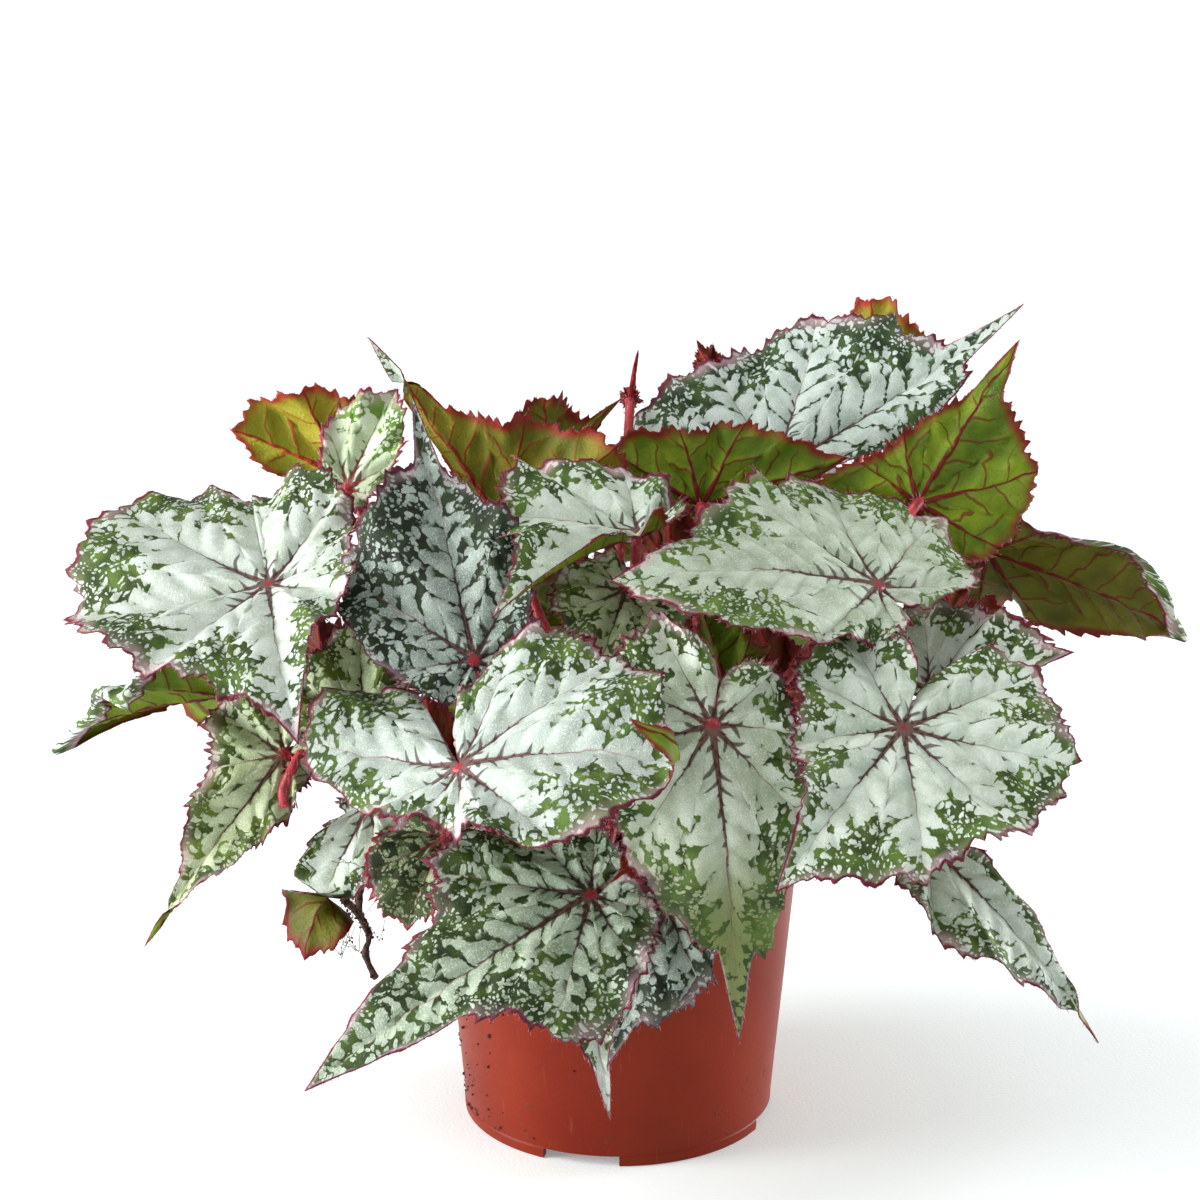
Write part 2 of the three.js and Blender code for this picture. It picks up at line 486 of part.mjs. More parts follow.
// The closed blade: both faces are split alike, and a rim joins them.
function thicken(points, triangles, border) {
  const normals = vertexNormals(points, triangles);
  const face = (height) => points.map((p, i) => p.clone().addScaledVector(normals[i], height));
  const count = points.length;
  const corners = triangles.flat();
  for (const [a, b, c] of triangles) corners.push(count + a, count + c, count + b);
  border.forEach((a, i) => {
    const b = border[(i + 1) % border.length];
    corners.push(a, count + a, count + b, a, count + b, b);
  });
  const all = [...face(BLADE_THICK / 2), ...face(-BLADE_THICK / 2)];
  return new THREE.BufferGeometry().setFromPoints(all).setIndex(corners);
}

function bladeGeometry(leaf) {
  const { length } = frameOf(leaf);
  const { points, triangles, border } = flatBlade(leaf, length);
  return thicken(points.map((point) => bentPoint(leaf, length, point)), triangles, border);
}

// ---- materials ----

const unmetallic = (color, roughness) => new THREE.MeshStandardMaterial({ color, roughness, metalness: 0 });
const bladeMaterial = () => unmetallic(0x9fb59a, 0.45);
const stalkMaterial = () => unmetallic(0xb8323a, 0.5);
const soilMaterial = () => unmetallic(0x3a281c, 0.95);
const potMaterial = () => unmetallic(0xb5442a, 0.4);

// ---- assembly ----

function named(name, geometry, material) {
  const mesh = new THREE.Mesh(geometry, material);
  mesh.name = name;
  return mesh;
}

function blade(leaf) {
  const { joint, forward, left, up } = frameOf(leaf);
  const mesh = named(`leaf_${leaf.name}`, bladeGeometry(leaf), bladeMaterial());
  mesh.quaternion.setFromRotationMatrix(new THREE.Matrix4().makeBasis(forward, left, up));
  mesh.position.copy(joint);
  return mesh;
}

const plant = new THREE.Group();
for (const leaf of LEAVES) plant.add(blade(leaf));
plant.add(named("rhizome_and_stalks", rhizomeAndStalks(), stalkMaterial()));
plant.add(named("soil", soil(), soilMaterial()));
plant.add(named("pot", pot(), potMaterial()));
export default plant;
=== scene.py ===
# %% [markdown]
# # A potted rex begonia
#
# A rex begonia is grown for its leaves. Short rhizomes creep over the soil of a plastic nursery pot. Each
# leaf stands on a hairy red stalk and is a lopsided heart: silver panels between dark feathered veins, a
# green edge with silver spots, and a long drip tip. The CAD model is loaded first as a fixed frame. The
# pieces made here take the place of its nodes and keep their size and position.

# %% The frame
import math

import bpy
import numpy as np
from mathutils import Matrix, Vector


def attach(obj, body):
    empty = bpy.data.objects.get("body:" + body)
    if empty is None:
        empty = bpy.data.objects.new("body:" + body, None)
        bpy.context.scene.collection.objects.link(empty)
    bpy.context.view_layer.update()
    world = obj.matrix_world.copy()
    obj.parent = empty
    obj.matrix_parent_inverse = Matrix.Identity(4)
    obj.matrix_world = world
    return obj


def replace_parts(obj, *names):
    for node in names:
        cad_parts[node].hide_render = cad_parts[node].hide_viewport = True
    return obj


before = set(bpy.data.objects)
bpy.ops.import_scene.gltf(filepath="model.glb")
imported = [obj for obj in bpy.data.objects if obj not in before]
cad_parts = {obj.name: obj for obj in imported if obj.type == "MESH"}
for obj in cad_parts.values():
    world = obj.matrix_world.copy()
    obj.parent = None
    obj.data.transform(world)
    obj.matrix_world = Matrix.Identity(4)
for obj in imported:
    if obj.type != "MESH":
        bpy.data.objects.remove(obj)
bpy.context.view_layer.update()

# %% [markdown]
# ## Shader maths as plain expressions
#
# A leaf's pattern is a long sum of distances and noises. Wiring it by hand hides the idea, so one small
# class wraps a node's output and gives it + - * / and the rest. An expression on such values adds its Math
# nodes by itself. Every other node is made by one function.


# %% A value that flows through the nodes
def add_node(tree, kind, settings=None, values=None, output=0):
    """Makes one node: its type, its settings, then the values or links of its sockets."""
    node = tree.nodes.new("ShaderNode" + kind)
    for key, value in (settings or {}).items():
        setattr(node, key, value)
    for key, value in (values or {}).items():
        if isinstance(value, Flow):
            tree.links.new(value.socket, node.inputs[key])
        else:
            node.inputs[key].default_value = value
    return Flow(tree, node.outputs[output]) if node.outputs else None


class Flow:
    """One output of a node, on which sums are written as expressions."""

    def __init__(self, tree, socket):
        self.tree = tree
        self.socket = socket

    def math(self, operation, *others):
        return add_node(self.tree, "Math", {"operation": operation}, dict(enumerate([self, *others])))

    def __add__(self, other):
        return self.math("ADD", other)

    __radd__ = __add__

    def __sub__(self, other):
        return self.math("SUBTRACT", other)

    def __rsub__(self, other):
        return add_node(self.tree, "Math", {"operation": "SUBTRACT"}, {0: other, 1: self})

    def __mul__(self, other):
        return self.math("MULTIPLY", other)

    __rmul__ = __mul__

    def __truediv__(self, other):
        return self.math("DIVIDE", other)

    def __pow__(self, other):
        return self.math("POWER", other)

    def __abs__(self):
        return self.math("ABSOLUTE")

    def ramp(self, low, high):
        """0 below low and 1 above high, with a soft rise between them."""
        values = {"Value": self, "From Min": low, "From Max": high}
        return add_node(self.tree, "MapRange", {"interpolation_type": "SMOOTHSTEP"}, values)

    def parts(self):
        """The three numbers of a vector."""
        return [add_node(self.tree, "SeparateXYZ", None, {0: self}, i) for i in range(3)]

    def noise(self, scale, detail=2.0, output=0):
        values = {"Vector": self, "Scale": scale, "Detail": detail}
        return add_node(self.tree, "TexNoise", None, values, output)

    def cells(self, scale, feature="DISTANCE_TO_EDGE"):
        values = {"Vector": self, "Scale": scale}
        return add_node(self.tree, "TexVoronoi", {"feature": feature}, values, "Distance")

    def moved(self, vector, amount):
        """This vector, shifted by a share of another."""
        by = add_node(self.tree, "VectorMath", {"operation": "SCALE"}, {0: vector, "Scale": amount})
        return add_node(self.tree, "VectorMath", {"operation": "ADD"}, {0: self, 1: by})


def colour(code):
    """A colour written as on a paint chart, such as b8323a, in the linear values that shaders use."""
    parts = [int(code[i:i + 2], 16) / 255 for i in (0, 2, 4)]
    return tuple(c / 12.92 if c < 0.04045 else ((c + 0.055) / 1.055) ** 2.4 for c in parts) + (1.0,)


def paint(under, over, mask):
    """The colour over laid on the colour under where the mask is 1. Either may be a colour's code."""
    under, over = (colour(tone) if isinstance(tone, str) else tone for tone in (under, over))
    return add_node(mask.tree, "Mix", {"data_type": "RGBA"}, {0: mask, 6: under, 7: over}, 2)


def new_material(name):
    material = bpy.data.materials.new(name)
    material.use_nodes = True
    material.node_tree.nodes.clear()
    return material, material.node_tree


def two_tones(name, dark, light, scale, detail, low, high):
    """A new material on the object's own coordinates, with a noise that drifts between two colours."""
    material, tree = new_material(name)
    place = add_node(tree, "TexCoord", None, None, "Object")
    return material, place, paint(dark, light, place.noise(scale, detail).ramp(low, high))


def close_material(base, roughness, height, depth, **fixed):
    """Joins colour, roughness and relief into one surface; fixed holds the shader's own constants."""
    tree = base.tree
    normal = add_node(tree, "Bump", None, {"Distance": depth, "Height": height})
    values = {"Base Color": base, "Roughness": roughness, "Normal": normal}
    values.update({key.replace("_", " "): value for key, value in fixed.items()})
    shader = add_node(tree, "BsdfPrincipled", None, values)
    add_node(tree, "OutputMaterial", None, {"Surface": shader})


print("shader tools ready")

# %% [markdown]
# ## The leaves, one row each
#
# These are the sizes that the CAD source uses, in millimetres, so each blade made here lies where its solid
# lies. A few differ by some millimetres, because two solids may not overlap where two blades touch. A row
# says where the stalk meets the blade, where the drip tip ends and which way the upper side looks. The edge
# is a reach from the joint at a few steps round each half. That suits a lopsided heart better than a drawn
# outline, because both halves and the lobes behind the joint come from one rule.

# %% Leaf sizes
# joint, tip, face: the stalk's end, the drip tip's end, and the direction of the upper side.
# root, via: the stalk's route from the rhizome. left, right: the edge's reach round each half.
# span: degrees that the left and the right half reach round the joint.
# arch, hind, fold: the midrib's bow, the rear lobes' rise, and each half's lift in degrees.
# lap, wave: the rise of the left and the right rear lobe, and the edge's wave.
# sectors, seed: teeth and valleys round the edge, and the start of the random numbers.
# body, drip: the edge's reach without its drip tip, and the degrees that the drip tip takes.
# full: the midrib's length before a curled tip is rolled.
# curl, twist, reflex: a tip that rolls over, a tip that turns about the midrib, an edge that rolls back.
# look, under: the finish of each side. node: the CAD node that the blade stands for.
USUAL = dict(span=(172, 172), arch=3, hind=0, fold=(0, 0), lap=(0, 0), wave=2, sectors=32, drip=8,
             look="silver", under="green")


def row(name, seed, joint, tip, face, root, via, left, right, **more):
    """A leaf's sizes by name: its own, and the usual ones where it has none of its own."""
    own = dict(name=name, seed=seed, joint=joint, tip=tip, face=face, root=root, via=via, left=left,
               right=right, node="leaf_" + name)
    return {**USUAL, **own, **more}


LEAVES = [
    row("front_middle", 7, (-47, -86, 145), (10, -104, 153), (0, -50, 87), (-12, -6), [(-26, -34, 128)],
        (67, 67, 57, 52, 42, 28, 16), (62, 48, 26, 20, 34, 62, 40), span=(112, 236), arch=5, hind=-10,
        fold=(8, -10), wave=2.5, sectors=48, body=76, full=79, curl=dict(start=62, radius=3.0, degrees=165),
        look="pearl"),
    row("front_hanging", 8, (27, -78, 155), (36, -82, 56), (5, -95, 30), (4, -18), [(16, -46, 136)],
        (66, 45, 36, 27, 26, 24, 14), (62, 52, 38, 34, 36, 30, 14), span=(158, 195), arch=13, hind=-16,
        fold=(-14, -20), sectors=48, body=70, drip=5, look="shaded_olive"),
    row("front_right", 9, (84, -71, 152), (44, -115, 117), (5, -75, 66), (16, -5), [(48, -38, 132)],
        (58, 53, 45, 50, 50, 45, 15), (47, 38, 33, 36, 38, 35, 16), span=(193, 162), arch=4, hind=-6,
        fold=(2, 2), wave=2.5, sectors=48, drip=10, look="frost"),
    row("front_low", 6, (-9, -88, 106), (-91, -122, 59), (-10, -70, 70), (4, -20),
        [(0, -48, 119), (-3, -68, 117), (-6, -80, 110)], (57, 46, 47, 31, 22, 17, 12),
        (62, 47, 45, 30, 24, 18, 12), arch=5, hind=-6, wave=2.5, sectors=48, body=64, drip=14,
        look="striped"),
    row("left_broad", 1, (-109, -24, 184), (-94, -86, 152), (-15, -45, 88), (-22, -1),
        [(-66, -6, 134), (-100, -20, 160)], (46, 36, 32, 28, 38, 47, 40), (57, 50, 54, 60, 67, 56, 40),
        span=(179, 185), arch=8, fold=(10, 2), lap=(1, -3), wave=2.5, sectors=48, drip=12),
    row("centre_right", 12, (80, -28, 185), (-3, -58, 194), (0, -50, 86), (20, -3), [(52, -20, 152)],
        (76, 70, 44, 28, 22, 16, 10), (65, 55, 53, 48, 45, 22, 12), span=(130, 222), arch=6, hind=-6,
        fold=(-4, -4), wave=2.5, sectors=48, drip=16, look="mint"),
    row("centre_dark", 13, (-44, -52, 168), (-64, -18, 243), (0, -93, 36), (-14, -5), [(-28, -22, 136)],
        (63, 54, 44, 26, 18, 13, 10), (54, 46, 27, 18, 18, 16, 12), arch=-4, hind=-8, fold=(2, 8),
        sectors=40, body=66, drip=4, look="dark"),
    row("centre_top", 14, (6, -22, 200), (-38, -66, 185), (0, -55, 83), (2, -6), [(4, -12, 150)],
        (30, 20, 18, 18, 18, 16, 10), (47, 44, 44, 44, 34, 26, 20), arch=6, fold=(50, 0), sectors=40,
        body=52, drip=12, look="frost"),
    row("centre_shaded", 15, (2, -30, 184), (-9, -66, 159), (0, -80, 60), (5, -22), [(2, -28, 150)],
        (28, 26, 25, 22, 18, 14, 10), (28, 26, 25, 22, 18, 14, 10), wave=1.5, look="green"),
    row("centre_inner", 33, (34, -42, 152), (24, -24, 180), (0, 80, 60), (6, -22), [(20, -44, 124)],
        (28, 24, 18, 14, 12, 10, 8), (28, 24, 18, 14, 12, 10, 8), wave=1.5),
    row("crest_right", 18, (52, 44, 207), (135, 58, 260), (0, -60, 80), (24, 0), [(38, 14, 160)],
        (68, 63, 55, 46, 54, 54, 38), (66, 26, 24, 16, 14, 12, 10), arch=-4, fold=(6, -6), wave=3,
        sectors=48, body=76, drip=4, look="fingers"),
    row("crest_middle", 19, (27, 26, 198), (75, 28, 214), (0, 100, 0), (8, -7), [(14, -4, 155)],
        (36, 26, 18, 14, 12, 10, 8), (42, 34, 28, 26, 35, 28, 16), arch=2, sectors=40),
    row("crest_left", 16, (-36, 18, 192), (-80, 16, 255), (-10, 90, 30), (-6, -6), [(-18, -6, 150)],
        (42, 37, 36, 45, 36, 26, 14), (27, 18, 20, 20, 18, 16, 10), arch=4, wave=2.5, sectors=40, body=46,
        drip=9, twist=dict(start=52, over=10, degrees=165), under="warm"),
    row("crest_far", 17, (-25, 52, 201), (1, 64, 227), (0, 90, 40), (-3, 22), [(-10, 34, 155)],
        (25, 24, 24, 24, 22, 18, 12), (25, 28, 27, 22, 20, 18, 12), body=30, drip=5, under="warm"),
    row("crest_back", 25, (88, 78, 224), (66, 100, 248), (0, 90, 40), (30, 6),
        [(46, 18, 165), (78, 46, 200)], (30, 34, 34, 28, 22, 18, 12), (30, 28, 26, 24, 20, 16, 12),
        under="fresh"),
    row("right_upright", 20, (97, 20, 200), (131, 38, 251), (0, 94, -34), (26, 1), [(60, 0, 155)],
        (46, 42, 38, 30, 22, 18, 12), (37, 28, 22, 24, 36, 27, 14), sectors=40),
    row("right_far", 21, (125, 52, 177), (193, 8, 154), (10, 90, 40), (34, 9),
        [(74, 16, 150), (106, 40, 176)], (63, 44, 27, 24, 20, 14, 10), (70, 40, 22, 18, 16, 14, 10), arch=5,
        wave=2.5, sectors=40, body=80, drip=4,
        reflex=dict(at=0.88, radius=1.8, degrees=170, middle=-28, width=45), under="brown"),
    row("right_inner", 23, (104, 30, 151), (144, 22, 154), (0, 70, 70), (33, 8), [(66, 12, 132)],
        (30, 24, 20, 18, 16, 10, 8), (34, 28, 22, 22, 22, 16, 8), under="red"),
    row("right_shaded", 24, (97, -25, 150), (140, -36, 166), (0, -60, 80), (22, -2), [(60, -14, 130)],
        (40, 34, 32, 34, 36, 26, 14), (34, 24, 20, 18, 18, 14, 8)),
    row("right_hanging", 11, (96, -35, 104), (148, -62, 47), (45, -75, 50), (20, -3),
        [(58, -22, 116), (90, -30, 108)], (46, 18, 9, 9, 9, 8, 8), (54, 43, 26, 16, 12, 10, 8), arch=6,
        twist=dict(start=62, over=10, degrees=140)),
    row("left_edge", 2, (-125, 8, 139), (-194, 2, 117), (-30, 55, 80), (-32, 6), [(-76, 8, 128)],
        (54, 52, 42, 30, 26, 20, 14), (30, 24, 22, 24, 24, 20, 12), arch=7, body=66,
        reflex=dict(at=0.84, radius=1.8, degrees=170, middle=30, width=60)),
    row("left_hanging", 3, (-106, -22, 128), (-151, -34, 68), (-20, -95, 20), (-28, 4), [(-66, -8, 124)],
        (40, 26, 16, 11, 10, 10, 8), (43, 30, 24, 27, 22, 16, 10), arch=5, sectors=40, body=54, drip=4,
        twist=dict(start=56, over=10, degrees=150), look="green"),
    row("left_lower", 4, (-79, -24, 112), (-99, -41, 66), (-60, -70, 35), (-24, 0), [(-54, -12, 116)],
        (49, 30, 23, 18, 16, 13, 8), (47, 25, 14, 10, 9, 8, 8), arch=4, wave=1.5, body=51, drip=4,
        twist=dict(start=28, over=10, degrees=165), under="brown"),
    row("left_shaded", 5, (-53, -52, 111), (-65, -66, 86), (-40, -85, 35), (-10, -6),
        [(-30, -30, 117), (-44, -42, 119)], (26, 22, 18, 16, 15, 12, 8), (30, 29, 25, 20, 18, 15, 10),
        wave=1.5, look="shaded_dark_green"),
    row("left_rear", 26, (-91, 36, 206), (-127, 34, 222), (0, 95, 15), (-30, 5), [(-58, 12, 160)],
        (38, 35, 30, 24, 20, 16, 10), (32, 20, 14, 14, 14, 12, 8), under="fresh"),
    row("left_young", 27, (-88, 22, 205), (-72, 32, 236), (0, -70, 70), (-26, 2), [(-52, 4, 160)],
        (32, 28, 16, 10, 9, 8, 6), (32, 25, 15, 10, 9, 8, 6), fold=(10, 10), look="young"),
    row("left_inner", 29, (-80, -32, 138), (-83, 0, 183), (0, -80, 60), (-20, -2), [(-50, -16, 132)],
        (36, 30, 24, 20, 18, 16, 10), (34, 28, 22, 18, 16, 14, 10), wave=1.5, look="green"),
    row("front_narrow", 30, (14, -76, 98), (-4, -84, 49), (0, -90, 40), (5, -24),
        [(10, -50, 118), (13, -68, 112)], (36, 31, 24, 18, 16, 14, 10), (26, 19, 14, 12, 12, 10, 8), arch=4,
        wave=1.5, look="dark"),
    row("front_small", 31, (-9, -76, 72), (-3, -80, 30), (0, -95, 30), (3, -24),
        [(-9, -50, 117), (-10, -68, 113), (-9, -71, 90)], (22, 14, 11, 10, 10, 8, 6),
        (22, 14, 11, 10, 10, 8, 6), wave=1),
    row("back_left", 41, (-62, 58, 150), (-112, 98, 96), (-40, 60, 70), (-8, 20), [(-34, 38, 134)],
        (52, 44, 40, 38, 34, 30, 16), (56, 46, 40, 42, 40, 32, 16), arch=8, fold=(-4, -4), wave=2.5),
    row("back_middle", 42, (-8, 64, 150), (-20, 124, 90), (-5, 70, 70), (-4, 26), [(-6, 44, 134)],
        (56, 46, 44, 44, 40, 34, 18), (54, 44, 38, 34, 32, 28, 14), arch=8, fold=(-4, -4), wave=2.5),
    row("back_right", 43, (58, 58, 152), (104, 102, 100), (35, 65, 70), (30, 6), [(42, 34, 134)],
        (56, 44, 38, 36, 32, 28, 14), (54, 46, 42, 42, 40, 34, 18), arch=8, fold=(-4, -4), wave=2.5),
    row("back_low_left", 44, (-44, 74, 110), (-66, 104, 48), (-40, 85, 30), (-6, 24), [(-26, 42, 119)],
        (42, 32, 28, 28, 26, 22, 12), (40, 32, 26, 24, 22, 18, 10), arch=5, fold=(-4, -4)),
    row("back_low_right", 45, (32, 78, 112), (44, 114, 52), (25, 90, 30), (-5, 28), [(18, 48, 119)],
        (42, 32, 28, 26, 24, 20, 12), (44, 34, 28, 28, 26, 22, 12), arch=5, fold=(-4, -4)),
    row("back_high_left", 46, (-48, 52, 180), (-98, 78, 176), (-30, 50, 80), (-5, 18), [(-28, 26, 152)],
        (44, 36, 32, 30, 28, 24, 14), (46, 38, 34, 34, 32, 26, 14), arch=6, fold=(-4, -4), wave=2.5),
    row("back_high_right", 47, (26, 62, 172), (44, 118, 140), (20, 60, 75), (33, 8), [(28, 38, 146)],
        (50, 42, 36, 34, 30, 26, 14), (50, 42, 40, 38, 36, 30, 16), arch=8, fold=(-4, -4), wave=2.5),
    row("back_side_left", 48, (-100, 54, 132), (-138, 72, 94), (-60, 50, 60), (-32, 7), [(-66, 26, 128)],
        (40, 32, 28, 26, 24, 20, 12), (42, 34, 30, 28, 26, 22, 12), arch=6, fold=(-4, -4)),
    row("back_side_right", 49, (100, 52, 132), (142, 72, 92), (60, 50, 60), (34, 9), [(66, 28, 126)],
        (42, 34, 30, 28, 26, 22, 12), (40, 32, 28, 26, 24, 20, 12), arch=6, fold=(-4, -4)),
]
print("leaves:", len(LEAVES))

# %% [markdown]
# ## Young leaves between the stalks
#
# A begonia keeps sending up new leaves, which stay folded among the stalks for a while. They are too small
# to be solids of the CAD model, so they belong to its stalks. One small edge, drawn larger or smaller, does
# for all of them.

# %% Young leaves between the stalks
YOUNG_EDGE = (20, 17, 15, 14, 12, 10, 7)
# Size, joint, tip, root, and the point that the stalk passes.
INNER = [
    (1, (50, -12, 146), (43, -14, 177), (20, -3), (40, -8, 125)),
    (1, (-94, -4, 146), (-98, -2, 178), (-31, 6), (-70, 2, 126)),
    (1, (-90, -10, 122), (-99, -14, 148), (-28, 2), (-60, -4, 116)),
    (1, (17, 8, 182), (16, 6, 208), (12, -6), (14, 2, 150)),
    (1, (104, 10, 158), (110, 8, 184), (33, 8), (74, 12, 132)),
    (1, (-58, -30, 128), (-60, -34, 152), (-22, -2), (-42, -18, 120)),
    (1, (14, -46, 122), (8, -50, 152), (6, -24), (10, -38, 114)),
    (0.5, (33, 78, 232), (27, 77, 245), (28, 4), (34, 50, 190)),
    (0.25, (4, 70, 225), (7, 69, 243), (-4, 26), (1, 52, 180)),
]


def inner_leaf(number, size, joint, tip, root, via):
    """A small folded leaf that still stands upright among the stalks, with its underside out."""
    edge = tuple(size * reach for reach in YOUNG_EDGE)
    # The young leaves wear the dark finish that is partly painted shade.
    return row(f"inner_{number}", 60 + number, joint, tip, (0, 90, 20), root, [via], edge, edge,
               arch=3 * size, wave=1.5 * size, fold=(24, 30), sectors=24, look="shaded_dark_green", under="red",
               node="rhizome_and_stalks")


LEAVES += [inner_leaf(number, *places) for number, places in enumerate(INNER, 1)]
print("with young leaves:", len(LEAVES))

# %% [markdown]
# ## The shape of a blade
#
# The blade could be sculpted, or cut from a subdivided sheet. Here it is a polar grid round the stalk's
# end: columns run out to the edge, rings run round. A begonia's main veins do the same, so the grid can
# carry each point's place between two veins, and both the relief and the colours read it from there.

# %% Edge of the blade
# Where the reaches of a row lie, as a share of each half's span, and how the columns crowd to the tip.
HALF_STEPS = np.array([0, 0.06, 0.16, 0.32, 0.5, 0.7, 0.88, 1])
TIP_CROWDING = 1.2
COLUMNS_PER_SECTOR = 8
BODY_AT_TIP = 0.5
DRIP_POINT = 1.5
# The large teeth of the CAD blade, as a share of the reach.
TOOTH = 0.055
TOOTH_VARIETY = 0.4
TOOTH_AT_TIP = 0.35
TOOTH_GROWTH = 6
LARGE_TOOTH_SHARE = 0.55
# Sharp and fine teeth, which the solids do not have: heights in mm, pitches in columns.
SHARP_TOOTH = 3.4
SHARP_TOOTH_PITCH = (1.5, 3.4)
FINE_TOOTH = 0.7
FINE_TOOTH_PITCH = (0.9, 1.3)
TOOTH_FLANK = 1.3
TOOTH_SINK = 0.3
SMALL_BLADE = 28
BARE_AT_TIP = (1, 6)
BARE_AT_LOBE = (0, 0.05)
# Degrees from one main vein to the next, and how far the edge stands out where a vein ends.
VEIN_STEP = 42
LOBE = 0.02


def seeded(seed):
    """The CAD source's stream of numbers from 0 to 1, so that the large teeth fall in the same places."""
    state = (seed * 7919) % 2147483647
    while True:
        state = (state * 16807) % 2147483647
        yield state / 2147483647


def smooth_through(ys, x):
    """The CAD source's curve through the values ys at HALF_STEPS."""
    ys = np.asarray(ys, float)
    at = np.clip(np.searchsorted(HALF_STEPS, x, side="left"), 1, len(HALF_STEPS) - 1)
    before = np.maximum(np.arange(len(ys)) - 1, 0)
    after = np.minimum(np.arange(len(ys)) + 1, len(ys) - 1)
    slope = (ys[after] - ys[before]) / (HALF_STEPS[after] - HALF_STEPS[before])
    width = HALF_STEPS[at] - HALF_STEPS[at - 1]
    t = np.clip((x - HALF_STEPS[at - 1]) / width, 0, 1)
    rise = t * t * (3 - 2 * t)
    bend = width * (slope[at - 1] * t * (1 - t) ** 2 - slope[at] * t * t * (1 - t))
    return ys[at - 1] + (ys[at] - ys[at - 1]) * rise + bend


def ease(x, low, high):
    t = np.clip((x - low) / (high - low), 0, 1)
    return t * t * (3 - 2 * t)


def large_teeth(leaf):
    """The height of each tooth and valley of the CAD blade, as a share of the reach."""
    stream = seeded(leaf["seed"])
    sectors = leaf["sectors"]
    heights = []
    for k in range(sectors + 1):
        turn = 2 * k / sectors - 1
        if turn == 0:
            heights.append(0)
            continue
        part = abs(turn) ** TIP_CROWDING
        tooth = TOOTH * (1 + TOOTH_VARIETY * (2 * next(stream) - 1))
        tooth *= min(1, TOOTH_AT_TIP + part * TOOTH_GROWTH)
        heights.append(-tooth if k % 2 else tooth)
    return np.array(heights)


def zigzag(count, pitch, luck):
    """Uneven teeth from 0 to 1 with hollow flanks, given at count columns."""
    places = np.cumsum(luck.uniform(*pitch, count))
    heights = np.where(np.arange(count) % 2, luck.uniform(0.25, 1, count), 0)
    return np.interp(np.arange(count), places, heights) ** TOOTH_FLANK


def edge_of(leaf, length):
    """Angle, reach, teeth, vein coordinate and vein spacing of each column, from right lobe to left."""
    columns = leaf["sectors"] * COLUMNS_PER_SECTOR
    turn = np.linspace(-1, 1, columns + 1)
    part = np.abs(turn) ** TIP_CROWDING
    is_left = turn > 0
    halves = (leaf["left"], leaf["right"])
    body = np.mean([half[0] + BODY_AT_TIP * (half[0] - half[1]) for half in halves])
    body = min(length, leaf.get("body", body))
    reach = np.where(is_left, *[smooth_through((body, *half), part) for half in halves])
    span = np.where(is_left, *leaf["span"])
    angle = np.sign(turn) * part * span
    drip = np.clip(1 - np.abs(angle) / leaf["drip"], 0, 1)
    reach = reach + (length - body) * drip ** DRIP_POINT
    step = span / np.round(span / VEIN_STEP)
    ray = angle / step
    teeth = np.interp(turn, np.linspace(-1, 1, leaf["sectors"] + 1), large_teeth(leaf))
    luck = np.random.default_rng(leaf["seed"])
    sharp = zigzag(columns + 1, SHARP_TOOTH_PITCH, luck) - TOOTH_SINK
    sharp = SHARP_TOOTH * min(1, length / SMALL_BLADE) * sharp
    fine = FINE_TOOTH * zigzag(columns + 1, FINE_TOOTH_PITCH, luck)
    fine = (sharp + fine) / reach * ease(np.abs(angle), *BARE_AT_TIP) * ease(1 - part, *BARE_AT_LOBE)
    lobes = LOBE * (1 - 4 * np.abs(ray - np.round(ray))) * ease(np.abs(ray), 0.3, 1)
    return angle, reach * (1 + lobes), LARGE_TOOTH_SHARE * teeth, fine, ray, np.radians(step)


most = max(leaf["sectors"] for leaf in LEAVES) * COLUMNS_PER_SECTOR
print("edge rule ready, columns on the largest blade:", most)

# %% [markdown]
# ## Relief
#
# The upper side is quilted: veins lie in grooves and the panels between them swell. Underneath, the same
# veins stand out as ridges. A bump map would give that only in the light, so the grid itself is moved, and
# bump is kept for what is finer than the grid.

# %% Veins and swelling panels
GROOVE = 1.5
GROOVE_WIDTH = 1.7
SIDE_VEIN_PITCH = 9.0
SIDE_VEIN_SLANT = 0.9
SIDE_VEIN_SHIFT = 0.25
SIDE_GROOVE = 0.4
SIDE_GROOVE_WIDTH = 1.3
SWELL = 0.9
SWELL_EDGE = 5
RIDGE = 0.6
RIDGE_WIDTH = 0.9
SIDE_RIDGE = 0.3
THINNING = (0.7, 0.75)
FROM_JOINT = (0.02, 0.2)
TO_EDGE = (0.8, 1)
FLUTTER = 1.4
# How many waves lie round the blade, and how high.
FLUTTER_WAVES = [(13, 1.0), (23, 0.6), (8, 1.5)]
FLAT_MIDRIB = (3, 20)
PLEAT = 0.075


def vein_distance(ray, arc):
    """Distance in mm from the nearest main vein, and the side of it."""
    off = ray - np.round(ray)
    return np.abs(off) * arc, np.where(off < 0, -1.0, 1.0)


def side_vein_distance(distance, side, reach):
    along = (reach - SIDE_VEIN_SLANT * distance) / SIDE_VEIN_PITCH + SIDE_VEIN_SHIFT * side
    return np.abs(along - np.round(along)) * SIDE_VEIN_PITCH


def bell(distance, width):
    return np.exp(-((distance / width) ** 2))


